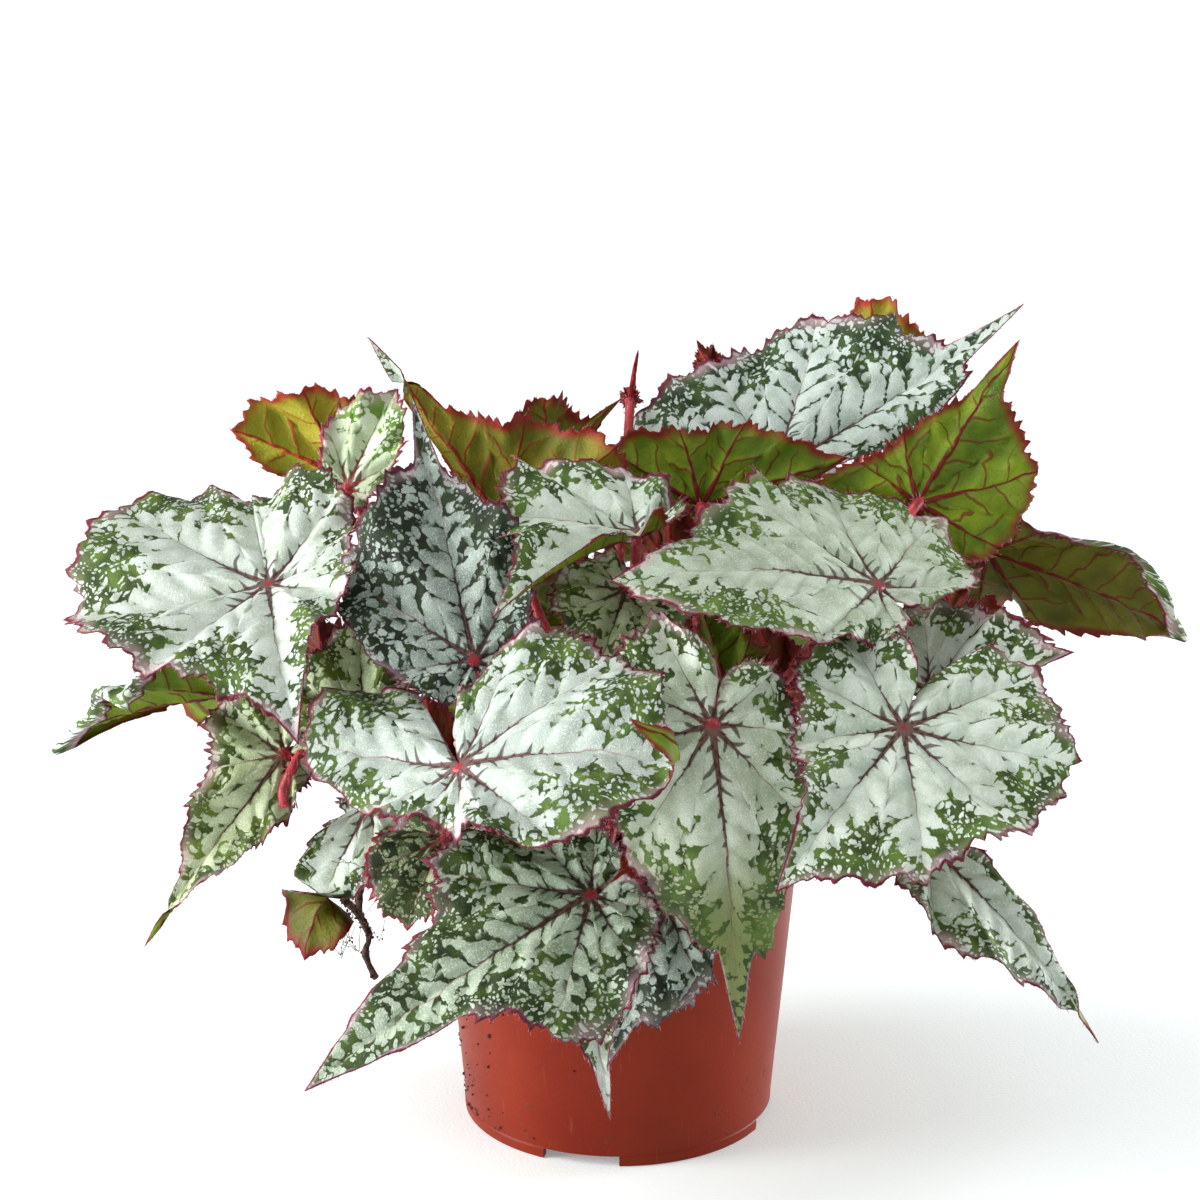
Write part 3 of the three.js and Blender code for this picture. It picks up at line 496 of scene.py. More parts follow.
def relief(ray, arc, reach, share):
    """Rise of the upper side, and how far the ridges stand out underneath, in mm."""
    main, side = vein_distance(ray, arc)
    small = side_vein_distance(main, side, reach)
    groove_thinning, ridge_thinning = THINNING
    out = ease(share, *FROM_JOINT)
    fade = out * (1 - ease(share, *TO_EDGE))
    groove = GROOVE * (1 - groove_thinning * share) * bell(main, GROOVE_WIDTH) * out
    side_groove = SIDE_GROOVE * bell(small, SIDE_GROOVE_WIDTH) * fade
    pleat = PLEAT * arc * (0.5 - 0.5 * np.cos(2 * np.pi * ray)) * out
    panel = np.sin(np.pi * np.clip(small * 2 / SIDE_VEIN_PITCH, 0, 1) / 2)
    swell = SWELL * (1 - bell(main, SWELL_EDGE)) * panel
    ridge = RIDGE * (1 - ridge_thinning * share) * bell(main, RIDGE_WIDTH)
    side_ridge = SIDE_RIDGE * RIDGE * bell(small, RIDGE_WIDTH) * fade
    return pleat + swell * fade - groove - side_groove, ridge + side_ridge


def flutter(angle, share, seed):
    """The small extra waves of the edge."""
    starts = np.random.default_rng(seed).uniform(0, 2 * np.pi, len(FLUTTER_WAVES))
    turn = np.radians(angle)
    quick, quicker, slow = (high * np.sin(turn * count + start)
                            for (count, high), start in zip(FLUTTER_WAVES, starts))
    rise = (quick + quicker) * share ** 4 + slow * share ** 2
    return FLUTTER * rise * ease(np.abs(angle), *FLAT_MIDRIB)


print("relief rule ready")

# %% [markdown]
# ## Bending a blade
#
# A few tips of this plant curl over, turn about their midrib or roll back at the edge, and then show their
# underside. Each bend is a small rule on flat distances, so it can be laid over any blade.

# %% Rolled, reflexed and twisted
def rolled(distance, rise, start, radius, degrees, sense=1):
    """Rolls a strip over a round: sense 1 rolls it towards the upper side, -1 towards the underside."""
    turn = np.clip((distance - start) / radius, 0, np.radians(degrees))
    rest = np.maximum(distance - start - turn * radius, 0)
    along = start + (radius - sense * rise) * np.sin(turn) + rest * np.cos(turn)
    up = sense * radius * (1 - np.cos(turn)) + rise * np.cos(turn) + sense * rest * np.sin(turn)
    past = distance > start
    return np.where(past, along, distance), np.where(past, up, rise)


def reflexed(reach, edge, angle, at, radius, degrees, middle, width):
    """Rolls part of the edge back under the blade: the new reach, and the drop."""
    window = 1 - ease(np.abs(angle - middle), 0.6 * width, width)
    new_reach, drop = rolled(reach, 0 * reach, at * edge, radius, degrees, -1)
    return reach + (new_reach - reach) * window, drop * window


def twisted(along, across, rise, start, over, degrees):
    """Turns the end of the blade about its midrib."""
    turn = np.radians(degrees) * ease(along, start, start + over)
    return across * np.cos(turn) - rise * np.sin(turn), across * np.sin(turn) + rise * np.cos(turn)


def axes_of(leaf):
    joint = np.array(leaf["joint"], float)
    forward = np.array(leaf["tip"], float) - joint
    length = np.linalg.norm(forward)
    forward /= length
    up = np.array(leaf["face"], float)
    up -= up.dot(forward) * forward
    up /= np.linalg.norm(up)
    return joint, forward, np.cross(up, forward), up, length


def unit(vectors):
    return vectors / np.maximum(np.linalg.norm(vectors, axis=-1, keepdims=True), 1e-9)


def grid_normals(points):
    """Upward normals of a grid of rings by columns."""
    out = np.gradient(points, axis=0)
    round_ = np.gradient(points, axis=1)
    return unit(np.cross(out, round_))


print("bends ready: rolled, reflexed, twisted")

# %% [markdown]
# ## One blade from its row
#
# The flat grid is lifted in steps, as a real leaf gets its form: veins and swelling panels first, then the
# wave of the edge, the lift of each half, the lobes behind the joint, and last a tip or an edge that rolls
# over. Modifiers could bend it too, but one sum in the blade's own axes keeps every step next to its size.

# %% The grid of one blade
RINGS = 26
WAVES = 5
WAVE_START = 15
RING_CROWDING = 0.85
TOOTH_ROOT = 8
FINE_TOOTH_ROOT = 24
REAR_LOBE = (0.7, 1)
PATTERN_STEP = 37.0


def blade_grid(leaf):
    """Everything that a blade's mesh needs, as grids of rings by columns."""
    joint, forward, left, up, length = axes_of(leaf)
    angle, edge, teeth, fine, ray, step = edge_of(leaf, leaf.get("full", length))
    share = np.linspace(0, 1, RINGS + 1)[1:, None] ** RING_CROWDING
    reach = share * edge * (1 + teeth * share ** TOOTH_ROOT + fine * share ** FINE_TOOTH_ROOT)
    arc = step * reach
    flat_along = reach * np.cos(np.radians(angle))
    flat_across = reach * np.sin(np.radians(angle))
    drop = 0
    if "reflex" in leaf:
        reach, drop = reflexed(reach, edge, angle, **leaf["reflex"])
    along = reach * np.cos(np.radians(angle))
    across = reach * np.sin(np.radians(angle))
    half = (across < 0).astype(int)
    t = along / length
    bow = np.where(t > 0, 4 * leaf["arch"] * t * (1 - t), -leaf["hind"] * t)
    ripple = np.sin(np.radians(angle) * WAVES + leaf["seed"]) * np.minimum(1, np.abs(angle) / WAVE_START)
    lift = np.radians(np.array(leaf["fold"])[half])
    bumps, ridges = relief(ray + 0 * share, arc, np.hypot(flat_along, flat_across), share + 0 * ray)
    rear = ease(np.abs(angle) / np.array(leaf["span"])[half], *REAR_LOBE)
    rise = leaf["wave"] * share ** 2 * ripple + np.abs(across) * np.sin(lift) + bumps + drop
    rise = rise + flutter(angle, share, leaf["seed"]) + rear * share * np.array(leaf["lap"])[half]
    across = across * np.cos(lift)
    if "twist" in leaf:
        across, rise = twisted(along, across, rise, **leaf["twist"])
    rise = rise + bow
    if "curl" in leaf:
        along, rise = rolled(along, rise, **leaf["curl"])
    points = joint + along[..., None] * forward + across[..., None] * left + rise[..., None] * up
    flat = np.stack([flat_along, flat_across, np.full_like(along, leaf["seed"] * PATTERN_STEP)], -1)
    return dict(points=points, ridges=ridges, share=share + 0 * ray, ray=ray + 0 * share, arc=arc,
                flat=flat, joint=joint, up=up)


print("points on the first blade:", blade_grid(LEAVES[0])["points"].size // 3)

# %% [markdown]
# ## From grid to closed mesh
#
# A single sheet would be easier, but a real blade has two different sides and an edge. The upper and the
# lower sheet are the same grid moved apart along its normals, thinner at the edge, and a rim joins them.

# %% Mesh tools
MM = 0.001
BLADE_THICK = 0.7
EDGE_THICK = 0.3


def add_object(name, data):
    """Puts a mesh, a lamp or a camera into the scene."""
    thing = bpy.data.objects.new(name, data)
    bpy.context.scene.collection.objects.link(thing)
    return thing


def make_piece(name, points, faces, materials, which=None, smooth=True):
    """A mesh object that rides on the pot's body. points are in mm."""
    mesh = bpy.data.meshes.new(name)
    mesh.from_pydata((np.asarray(points) * MM).tolist(), [], [list(map(int, face)) for face in faces])
    for material in materials:
        mesh.materials.append(material)
    if which is not None:
        mesh.polygons.foreach_set("material_index", np.asarray(which, np.int32))
    mesh.polygons.foreach_set("use_smooth", np.full(len(mesh.polygons), smooth))
    piece = add_object(name, mesh)
    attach(piece, "root")
    return piece


def write_attribute(piece, name, values):
    attribute = piece.data.attributes.new(name, "FLOAT_VECTOR", "POINT")
    attribute.data.foreach_set("vector", np.asarray(values, np.float32).ravel())


def blade_mesh(leaf, materials):
    """The closed blade, its two sides in two finishes, with the pattern's coordinates on every point."""
    grid = blade_grid(leaf)
    points = grid["points"]
    rings, columns = points.shape[:2]
    normals = grid_normals(points)
    thick = BLADE_THICK + (EDGE_THICK - BLADE_THICK) * ease(grid["share"], 0.5, 1)
    upper = points + normals * (thick / 2)[..., None]
    lower = points - normals * (thick / 2 + grid["ridges"])[..., None]
    centre_up = grid["joint"] + grid["up"] * BLADE_THICK / 2
    centre_down = grid["joint"] - grid["up"] * (BLADE_THICK / 2 + RIDGE)
    count = rings * columns
    index = np.arange(count).reshape(rings, columns)
    a, b = index[:-1, :-1].ravel(), index[1:, :-1].ravel()
    c, d = index[1:, 1:].ravel(), index[:-1, 1:].ravel()
    upper_faces = list(zip(a, b, c, d))
    lower_faces = list(zip(a + count, d + count, c + count, b + count))
    top, bottom = 2 * count, 2 * count + 1
    first = index[0]
    upper_faces += [(top, first[j], first[j + 1]) for j in range(columns - 1)]
    lower_faces += [(bottom, first[j + 1] + count, first[j] + count) for j in range(columns - 1)]
    border = [*index[:, 0], *index[-1, 1:-1], *index[::-1, -1]]
    rim = [(i + count, j + count, j, i) for i, j in zip(border[:-1], border[1:])]
    rim += [(bottom, border[0] + count, border[0], top), (border[-1] + count, bottom, top, border[-1])]
    faces = upper_faces + rim + lower_faces
    which = [0] * (len(upper_faces) + len(rim)) + [1] * len(lower_faces)
    all_points = np.concatenate([upper.reshape(-1, 3), lower.reshape(-1, 3), [centre_up, centre_down]])
    piece = make_piece("leaf_" + leaf["name"], all_points, faces, materials, which)
    middle = [[0, 0, leaf["seed"] * PATTERN_STEP]]
    flat = grid["flat"].reshape(-1, 3)
    write_attribute(piece, "blade", np.concatenate([flat, flat, middle, middle]))
    veins = np.stack([grid["ray"], grid["share"], grid["arc"]], -1).reshape(-1, 3)
    write_attribute(piece, "veins", np.concatenate([veins, veins, np.zeros((2, 3))]))
    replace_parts(piece, leaf["node"])
    return grid, normals


print("mesh tools ready")

# %% [markdown]
# ## Upper side of a blade
#
# Seen from near, four things lie on top of each other. Silver panels with a fine painted sparkle of
# near-white specks, which stand in for glints of light, fill the middle.
# Towards the edge they end as fingers between the side veins, then as round patches and dots on green. Dark
# jagged feathers flank the main veins near the stalk, and thin red veins run on outwards. Lobe tips turn
# lilac and the very edge is maroon. Painting an image would fix all this to one blade; a rule in the vein
# coordinates fits all.

# %% Upper side
WANDER = 0.16
FEATHER_PITCH = 4.5
FEATHER_LENGTH = 9.0
CELL = 4.5
SILVER_WARP = 0.5
RELIEF_DEPTH = 0.0005


def pattern_places(tree):
    """What the blade's mesh carries: where a point lies, and where it lies between two veins."""
    blade = add_node(tree, "Attribute", {"attribute_name": "blade"}, None, "Vector")
    veins = add_node(tree, "Attribute", {"attribute_name": "veins"}, None, "Vector")
    x, y, leaf_number = blade.parts()
    ray, share, arc = veins.parts()
    reach = (x * x + y * y) ** 0.5
    wander = blade.noise(0.08) - 0.5
    path = ray + wander * WANDER
    off = path - path.math("ROUND")
    side = off.math("SIGN")
    distance = abs(off) * arc
    lot = path.math("ROUND") * 7.3 + side * 3.1 + leaf_number
    return blade, lot, share, reach, wander, side, distance, abs(off) * 2


def side_veins(reach, distance, side, wander, pitch):
    """Counts the side veins that slant out from a main vein; a whole number lies on a vein."""
    return (reach - distance * SIDE_VEIN_SLANT) / pitch + side * SIDE_VEIN_SHIFT + wander * 1.2


def off_whole(number):
    return abs(number - number.math("ROUND"))


def dark_feathers(tree, lot, share, reach, wander, side, distance):
    """Thin dark barbs that follow the side veins out from each main vein, each as long as luck has it."""
    along = side_veins(reach, distance, side, wander, FEATHER_PITCH)
    number = add_node(tree, "CombineXYZ", None, {0: along.math("ROUND"), 1: lot})
    luck = add_node(tree, "TexWhiteNoise", None, {"Vector": number}, "Value")
    window = share.ramp(0.03, 0.1) * (1 - share.ramp(0.15, 0.5))
    length = (luck * luck * 1.2 + 0.15) * FEATHER_LENGTH * window
    width = (1 - distance / (length + 0.01)) * 0.8
    return (width - off_whole(along) * FEATHER_PITCH * 0.74).ramp(-0.15, 0.25)


def silver_parts(tree, blade, lot, count, reach, distance, greening, stripe):
    """Silver fingers between the side veins, round patches past their ends, then spots and dots."""
    ragged = blade.noise(0.5, 2) - 0.5
    fingers = (off_whole(count) * 2 + ragged * 0.75 - (greening * 2.6 + stripe)).ramp(-0.04, 0.06)
    lean = (1 + SIDE_VEIN_SLANT ** 2) ** 0.5
    along = (reach * SIDE_VEIN_SLANT + distance) / (lean * CELL)
    across = count * (SIDE_VEIN_PITCH / lean / CELL)
    place = add_node(tree, "CombineXYZ", None, {0: across, 1: along * 0.7, 2: lot})
    place = place.moved(blade.noise(0.35, 2, "Color"), SILVER_WARP)
    patches = (0.7 - greening * 0.5 - place.cells(1.3, "F1")).ramp(0.0, 0.06) * greening.ramp(0.1, 0.22)
    spots = (0.55 - greening * 0.22 - place.cells(2.1, "F1")).ramp(0.0, 0.08) * greening.ramp(0.25, 0.4)
    dots = (0.35 - place.cells(3.3, "F1")).ramp(0.0, 0.08) * greening.ramp(0.45, 0.75)
    return fingers.math("MAXIMUM", patches).math("MAXIMUM", spots).math("MAXIMUM", dots)


def upper_side(name, silver, green, start, stripe, vein="54201f", margin="641a2c", lilac=0.6, shade=0.0):
    """start: where the green opens on the way out; stripe: green along the side veins.
    shade: how far the silver darkens towards the tip, as painted shade on a tip that bends down out of the
    light, over the leaf's own duller green."""
    material, tree = new_material("upper_" + name)
    blade, lot, share, reach, wander, side, distance, middle = pattern_places(tree)
    grain_and_sparkle = blade.noise(2.2, 2)
    zone = share * (middle * 0.38 + 0.64) + (blade.noise(0.085, 3) - 0.5) * 0.42
    greening = zone.ramp(start, start + 0.6)
    count = side_veins(reach, distance, side, wander, SIDE_VEIN_PITCH)
    is_silver = silver_parts(tree, blade, lot, count, reach, distance, greening, stripe)
    silver_tone = paint(*silver, blade.noise(0.14, 3).ramp(0.3, 0.68))
    # Painted sparkle: near-white specks on the silver stand in for glints of light; the same noise also
    # roughens and bumps the surface.
    silver_tone = paint(silver_tone, "f4f7f2", grain_and_sparkle.ramp(0.5, 0.72) * 0.5)
    silver_tone = paint(silver_tone, silver[0], (1 - off_whole(count).ramp(0.0, 0.2)) * 0.4)
    # Painted shade: the silver darkens along the midrib towards the tip, where the blade bends away from
    # the light; partly the leaf's own duller tone.
    if shade:
        silver_tone = paint(silver_tone, "727d48", blade.parts()[0].ramp(22, 60) * shade)
    green_tone = paint(*green, blade.noise(0.12, 2).ramp(0.35, 0.7))
    tone = paint(green_tone, silver_tone, is_silver)
    rim = reach / share - reach
    blush = blade.noise(0.05, 1).ramp(0.3, 0.62)
    tips = 1 - (rim + wander * 10).ramp(0.5, 1.7 + 5.0 * blush)
    tips = tips * (1 - middle.ramp(0.2, 1.0) * 0.8) * (0.25 + blush * 0.75)
    tone = paint(tone, "cfa9b6", tips * lilac)
    feathers = dark_feathers(tree, lot, share, reach, wander, side, distance)
    tone = paint(tone, "352019", feathers * 0.85)
    width = 1.2 - share.ramp(0.0, 0.45) * 0.98
    line = (width - distance).ramp(-0.2, 0.25) * (1 - share.ramp(0.3, 0.85) * 0.8)
    tone = paint(tone, paint(vein, "98565c", share.ramp(0.25, 0.6)), line * 0.88)
    tone = paint(tone, "98262e", 1 - (reach + wander * 3).ramp(0.6, 2.0))
    tone = paint(tone, margin, 1 - (rim + wander * 4).ramp(0.4, 1.5))
    roughness = 0.56 - is_silver * 0.1 + grain_and_sparkle * 0.1
    height = is_silver * 0.35 + grain_and_sparkle * 0.5 - line * 0.4
    close_material(tone, roughness, height, RELIEF_DEPTH, Specular_IOR_Level=0.25)
    return material


# Two silvers and two greens; where the green starts and how much of it lies along the side veins.
UPPER_ROWS = dict(
    silver=(("acb9a7", "cad5cb"), ("2f4216", "56702a"), 0.34, -0.35),
    pearl=(("9aa79a", "bbc7be"), ("2f4216", "56702a"), 0.31, -0.3),
    frost=(("b2c2ad", "d3dfd1"), ("34481a", "5a762e"), 0.35, -0.3),
    mint=(("9dac92", "bdcab7"), ("364f1a", "607a32"), 0.38, -0.3),
    # This finish paints shade with its last number: its silver darkens towards the tip, partly the leaf's
    # own duller tone.
    shaded_olive=(("a2b094", "c6d0bf"), ("2b3d14", "4f6a26"), 0.34, -0.25, "54201f", "641a2c", 0.6, 1.0),
    striped=(("7e9074", "afbfa9"), ("202f12", "3e531c"), 0.29, 0.07, "431a1a"),
    fingers=(("a4b5a8", "c6d3cb"), ("22351a", "40592a"), 0.40, 0.07),
    dark=(("728277", "a6b3a9"), ("1c2418", "2e3e22"), 0.29, 0.05, "3f161d", "4a162c", 0.4),
    green=(("8f9d6e", "b6c29c"), ("303f16", "5f7122"), 0.32, -0.05),
    # A darker copy of the green finish: partly the leaf's own dark tone and partly painted shade, for
    # blades deep among the others.
    shaded_dark_green=(("5c683e", "8a9670"), ("1f2810", "37441a"), 0.12, 0.15, "7a1f24", "7a1a26"),
    young=(("b4c79c", "d3e0c2"), ("4f7424", "72943a"), 0.36, -0.1, "a04a48", "93304a"),
)
UPPER = {name: upper_side(name, *values) for name, values in UPPER_ROWS.items()}
print("upper finishes:", sorted(UPPER))

# %% [markdown]
# ## Underside of a blade
#
# From below a rex begonia is another plant: yellow green with a net of red veins and a broad red edge. The
# same vein coordinates draw it, with the side veins added, which hardly show on the silver.

# %% Underside
def lower_side(name, body, vein_tone, margin):
    material, tree = new_material("under_" + name)
    blade, lot, share, reach, wander, side, distance, middle = pattern_places(tree)
    slant = off_whole(side_veins(reach, distance, side, wander, SIDE_VEIN_PITCH)) * SIDE_VEIN_PITCH
    fine_net = blade.moved(blade.noise(0.4, 1, "Color"), 2.5).cells(0.22)
    tone = paint(*body, blade.noise(0.07, 3).ramp(0.3, 0.7))
    net = (1 - fine_net.ramp(0.0, 0.05)) * 0.2
    lines = (0.42 - slant).ramp(-0.25, 0.2) * (1 - share.ramp(0.75, 1.0)) * 0.75
    width = 0.75 - share.ramp(0.0, 0.6) * 0.45
    main = (width - distance).ramp(-0.2, 0.2)
    tone = paint(tone, vein_tone, net.math("MAXIMUM", lines).math("MAXIMUM", main))
    rim = reach / share - reach
    tone = paint(tone, margin, (1 - (rim + wander * 7).ramp(0.3, 5.0)) * 0.95)
    height = blade.noise(1.2, 2) * 0.5 + main * 0.4 + lines * 0.3 - net * 0.5
    close_material(tone, blade.noise(0.5) * 0.2 + 0.45, height, RELIEF_DEPTH, Specular_IOR_Level=0.2)
    return material


# Two greens, the veins and the margin.
UNDER_ROWS = dict(
    green=(("526c12", "7c901c"), "64160e", "740e10"),
    fresh=(("80861c", "a39a2c"), "98301a", "961a1b"),
    brown=(("46480c", "606010"), "5c0c08", "660a0c"),
    red=(("4a1812", "7a3c1c"), "8a1818", "6a1014"),
    # The brown underside is partly the leaf's own brown-red and partly painted shade, darker for undersides
    # that hang in shadow.
    warm=(("5f6414", "857c1e"), "842414", "821214"),
)
UNDER = {name: lower_side(name, *values) for name, values in UNDER_ROWS.items()}
print("under finishes:", sorted(UNDER))

# %% [markdown]
# ## All blades
#
# Every row becomes a closed mesh with its two finishes. The grids are kept, since the hairs grow from them.

# %% Blades
grids = {}
for leaf in LEAVES:
    grids[leaf["name"]] = blade_mesh(leaf, [UPPER[leaf["look"]], UNDER[leaf["under"]]])
print("blades:", len(grids))

# %% [markdown]
# ## Hairs
#
# Edges and stalks are fringed with soft red hairs. Blender's hair system could grow them, but a hair that
# is real mesh is exported with the piece. Each one is a slim three-sided spike with a closed foot.

# %% Spikes
def spikes(roots, directions, lengths, radius):
    """Slim closed spikes as points and faces."""
    directions = unit(directions)
    helper = np.where(np.abs(directions[:, 2:3]) < 0.9, [[0.0, 0, 1]], [[1.0, 0, 0]])
    across = unit(np.cross(directions, helper))
    other = np.cross(directions, across)
    feet = []
    for k in range(3):
        a = 2 * np.pi * k / 3
        feet.append(roots + radius * (math.cos(a) * across + math.sin(a) * other))
    tips = roots + directions * lengths[:, None]
    points = np.stack([*feet, tips], 1).reshape(-1, 3)
    base = np.arange(len(roots))[:, None] * 4
    pattern = np.array([[0, 1, 3], [1, 2, 3], [2, 0, 3], [2, 1, 0]])
    faces = (base[:, :, None] + pattern[None]).reshape(-1, 3)
    return points, faces


def hair_material(name, dark, light, scale):
    material, place, tone = two_tones(name, dark, light, scale, 2, 0.4, 0.6)
    close_material(tone, place.noise(900, 1) * 0.2 + 0.4, place.noise(900, 1), 0.0001)
    return material


EDGE_HAIR = hair_material("edge_hair", "8a2a3c", "c98292", 160)
EDGE_HAIR_PITCH = 1.1
EDGE_HAIR_LENGTH = (0.7, 2.0)
EDGE_HAIR_RADIUS = 0.11
EDGE_HAIR_TILT = (0.45, 0.25)
HAIR_FOOT = 0.1


def fringe(leaf, grid, normals):
    """Hairs that stand out from the edge of one blade."""
    luck = np.random.default_rng(leaf["seed"] + 500)
    edge = grid["points"][-1]
    inner = grid["points"][-3]
    steps = np.linalg.norm(np.diff(edge, axis=0), axis=1)
    travelled = np.concatenate([[0], np.cumsum(steps)])
    count = int(travelled[-1] / EDGE_HAIR_PITCH)
    at = luck.uniform(0, travelled[-1], count)
    place = np.interp(at, travelled, np.arange(len(edge)))
    low = np.floor(place).astype(int).clip(0, len(edge) - 2)
    mix = (place - low)[:, None]
    roots = edge[low] * (1 - mix) + edge[low + 1] * mix
    outward = unit(roots - (inner[low] * (1 - mix) + inner[low + 1] * mix))
    up_down, any_way = EDGE_HAIR_TILT
    tilt = normals[-1][low] * luck.normal(0, up_down, (count, 1)) + luck.normal(0, any_way, (count, 3))
    lengths = luck.uniform(*EDGE_HAIR_LENGTH, count)
    points, faces = spikes(roots - outward * HAIR_FOOT, outward + tilt, lengths, EDGE_HAIR_RADIUS)
    piece = make_piece("fringe_" + leaf["name"], points, faces, [EDGE_HAIR], None)
    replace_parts(piece, leaf["node"])
    return count


total = sum(fringe(leaf, *grids[leaf["name"]]) for leaf in LEAVES)
print("edge hairs:", total)

# %% [markdown]
# ## Stalks
#
# Each stalk is a fleshy red rod that thins a little towards the blade and carries rough hairs. It follows
# the route that its solid follows. A tube along a smooth curve is the plain way, with its radius wavering.

# %% Tubes
RHIZOME_Z = 103
STALK_RADIUS = 1.9
STALK_NECK = 5
STALK_SIDES = 10
STALK_STEP = 3
STALK_FLARE = 0.9
STALK_HAIRS_PER_MM = 3
STALK_HAIR_LENGTH = (0.9, 2.4)
STALK_HAIR_RADIUS = 0.10


def smooth_route(places, count):
    """Points along the centripetal curve through the places, as the CAD source draws it."""
    p = np.asarray(places, float)
    p = np.concatenate([[2 * p[0] - p[1]], p, [2 * p[-1] - p[-2]]])
    knots = np.concatenate([[0], np.cumsum(np.linalg.norm(np.diff(p, axis=0), axis=1) ** 0.5)])
    out = []
    for t in np.linspace(knots[1], knots[-2], count):
        i = int(np.clip(np.searchsorted(knots, t, side="right") - 1, 1, len(p) - 3))
        k = knots[i - 1:i + 3]
        a = [p[i - 1 + j] * (k[j + 1] - t) / (k[j + 1] - k[j]) + p[i + j] * (t - k[j]) / (k[j + 1] - k[j])
             for j in range(3)]
        b = [a[j] * (k[j + 2] - t) / (k[j + 2] - k[j]) + a[j + 1] * (t - k[j]) / (k[j + 2] - k[j])
             for j in range(2)]
        out.append(b[0] * (k[2] - t) / (k[2] - k[1]) + b[1] * (t - k[1]) / (k[2] - k[1]))
    return np.array(out)


def closed_rings(rings, first, last):
    """A closed skin over rings of equal count, with the points first and last in the middle of its ends."""
    count, sides = len(rings), len(rings[0])
    start, end, top = count * sides, count * sides + 1, (count - 1) * sides
    faces = []
    for j in range(sides):
        k = (j + 1) % sides
        faces.append((start, k, j))
        for i in range(0, top, sides):
            faces.append((i + j, i + k, i + sides + k, i + sides + j))
        faces.append((end, top + j, top + k))
    return np.concatenate([*rings, [first], [last]]), faces


def tube(route, radii, sides):
    """A closed tube: points, faces, and the outward direction at each point of its rings."""
    tangent = unit(np.gradient(route, axis=0))
    normal = unit(np.cross(tangent[0], [0.3, 0.2, 1.0]))
    turns = 2 * np.pi * np.arange(sides) / sides
    rings, outs = [], []
    for centre, along, radius in zip(route, tangent, radii):
        normal = unit(normal - normal.dot(along) * along)
        other = np.cross(along, normal)
        out = np.cos(turns)[:, None] * normal + np.sin(turns)[:, None] * other
        outs.append(out)
        rings.append(centre + out * radius)
    points, faces = closed_rings(rings, route[0], route[-1])
    return points, faces, np.array(outs)


def stalk_material():
    material, tree = new_material("stalk")
    place = add_node(tree, "TexCoord", None, None, "Object")
    streaks = add_node(tree, "VectorMath", {"operation": "MULTIPLY"}, {0: place, 1: (1.0, 1.0, 0.25)})
    tone = paint("8e1f28", "c8404a", streaks.noise(260, 3).ramp(0.35, 0.68))
    tone = paint(tone, "e3a3a0", streaks.noise(900, 2).ramp(0.62, 0.75) * 0.6)
    close_material(tone, place.noise(700) * 0.25 + 0.3, streaks.noise(1200, 3), 0.0003)
    return material


STALK = stalk_material()
STALK_HAIR = hair_material("stalk_hair", "a32c38", "e0a9a8", 220)


def stalk(leaf):
    """One stalk with its hairs, from the rhizome to the blade. Returns how many hairs it has."""
    luck = np.random.default_rng(leaf["seed"] + 900)
    joint, _, _, up, _ = axes_of(leaf)
    places = [(*leaf["root"], RHIZOME_Z), *leaf["via"], joint - STALK_NECK * up, joint - 0.2 * up]
    length = sum(np.linalg.norm(np.subtract(b, a)) for a, b in zip(places, places[1:]))
    route = smooth_route(places, max(16, int(length / STALK_STEP)))
    share = np.linspace(0, 1, len(route))
    radii = STALK_RADIUS * (1.15 - 0.35 * share) * (1 + 0.05 * np.sin(share * 23 + leaf["seed"]))
    radii = radii + STALK_FLARE * ease(share, 0.95, 1)
    points, faces, outs = tube(route, radii, STALK_SIDES)
    count = int(length * STALK_HAIRS_PER_MM)
    ring = luck.uniform(2, len(route) - 1.01, count)
    column = luck.integers(0, STALK_SIDES, count)
    low = ring.astype(int)
    mix = (ring - low)[:, None]
    out = unit(outs[low, column] + luck.normal(0, 0.3, (count, 3)))
    centre = route[low] * (1 - mix) + route[low + 1] * mix
    roots = centre + outs[low, column] * radii[low][:, None] * 0.9
    lengths = luck.uniform(*STALK_HAIR_LENGTH, count)
    hair_points, hair_faces = spikes(roots, out, lengths, STALK_HAIR_RADIUS)
    which = [0] * len(faces) + [1] * len(hair_faces)
    faces = [*faces, *(hair_faces + len(points)).tolist()]
    piece = make_piece("stalk_" + leaf["name"], np.concatenate([points, hair_points]), faces,
                       [STALK, STALK_HAIR], which)
    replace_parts(piece, "rhizome_and_stalks")
    return count


# This one has lost its blade.
BARE_STALK = dict(name="bare", seed=95, root=(-28, 4), via=[(-66, -6, 124), (-95, -18, 133)],
                  joint=(-106, -28, 113), tip=(-110, -60, 113), face=(0, 0, -1))
print("stalk hairs:", sum(stalk(leaf) for leaf in [*LEAVES, BARE_STALK]))

# %% [markdown]
# ## Rhizomes
#
# The rhizomes are the plant's thick creeping stems, brown and scarred where old leaves have dropped off.
# They are tubes like the stalks, with a quick small swelling at each scar.

# %% Rhizomes
RHIZOMES = [
    [(-34, 8), (-18, -4), (2, -8), (22, -2), (36, 10)],
    [(-6, 34), (-2, 18), (2, -8), (6, -26)],
]
RHIZOME_RADIUS = 5
RHIZOME_SIDES = 24


def rhizome_material():
    material, place, tone = two_tones("rhizome", "5a2a1c", "8a4a30", 150, 3, 0.35, 0.65)
    scars = (1 - place.cells(160).ramp(0.0, 0.08)) * 0.6
    tone = paint(tone, "2c1710", scars)
    close_material(tone, place.noise(300) * 0.2 + 0.55, place.noise(400, 4) - scars * 0.5, 0.0008)
    return material


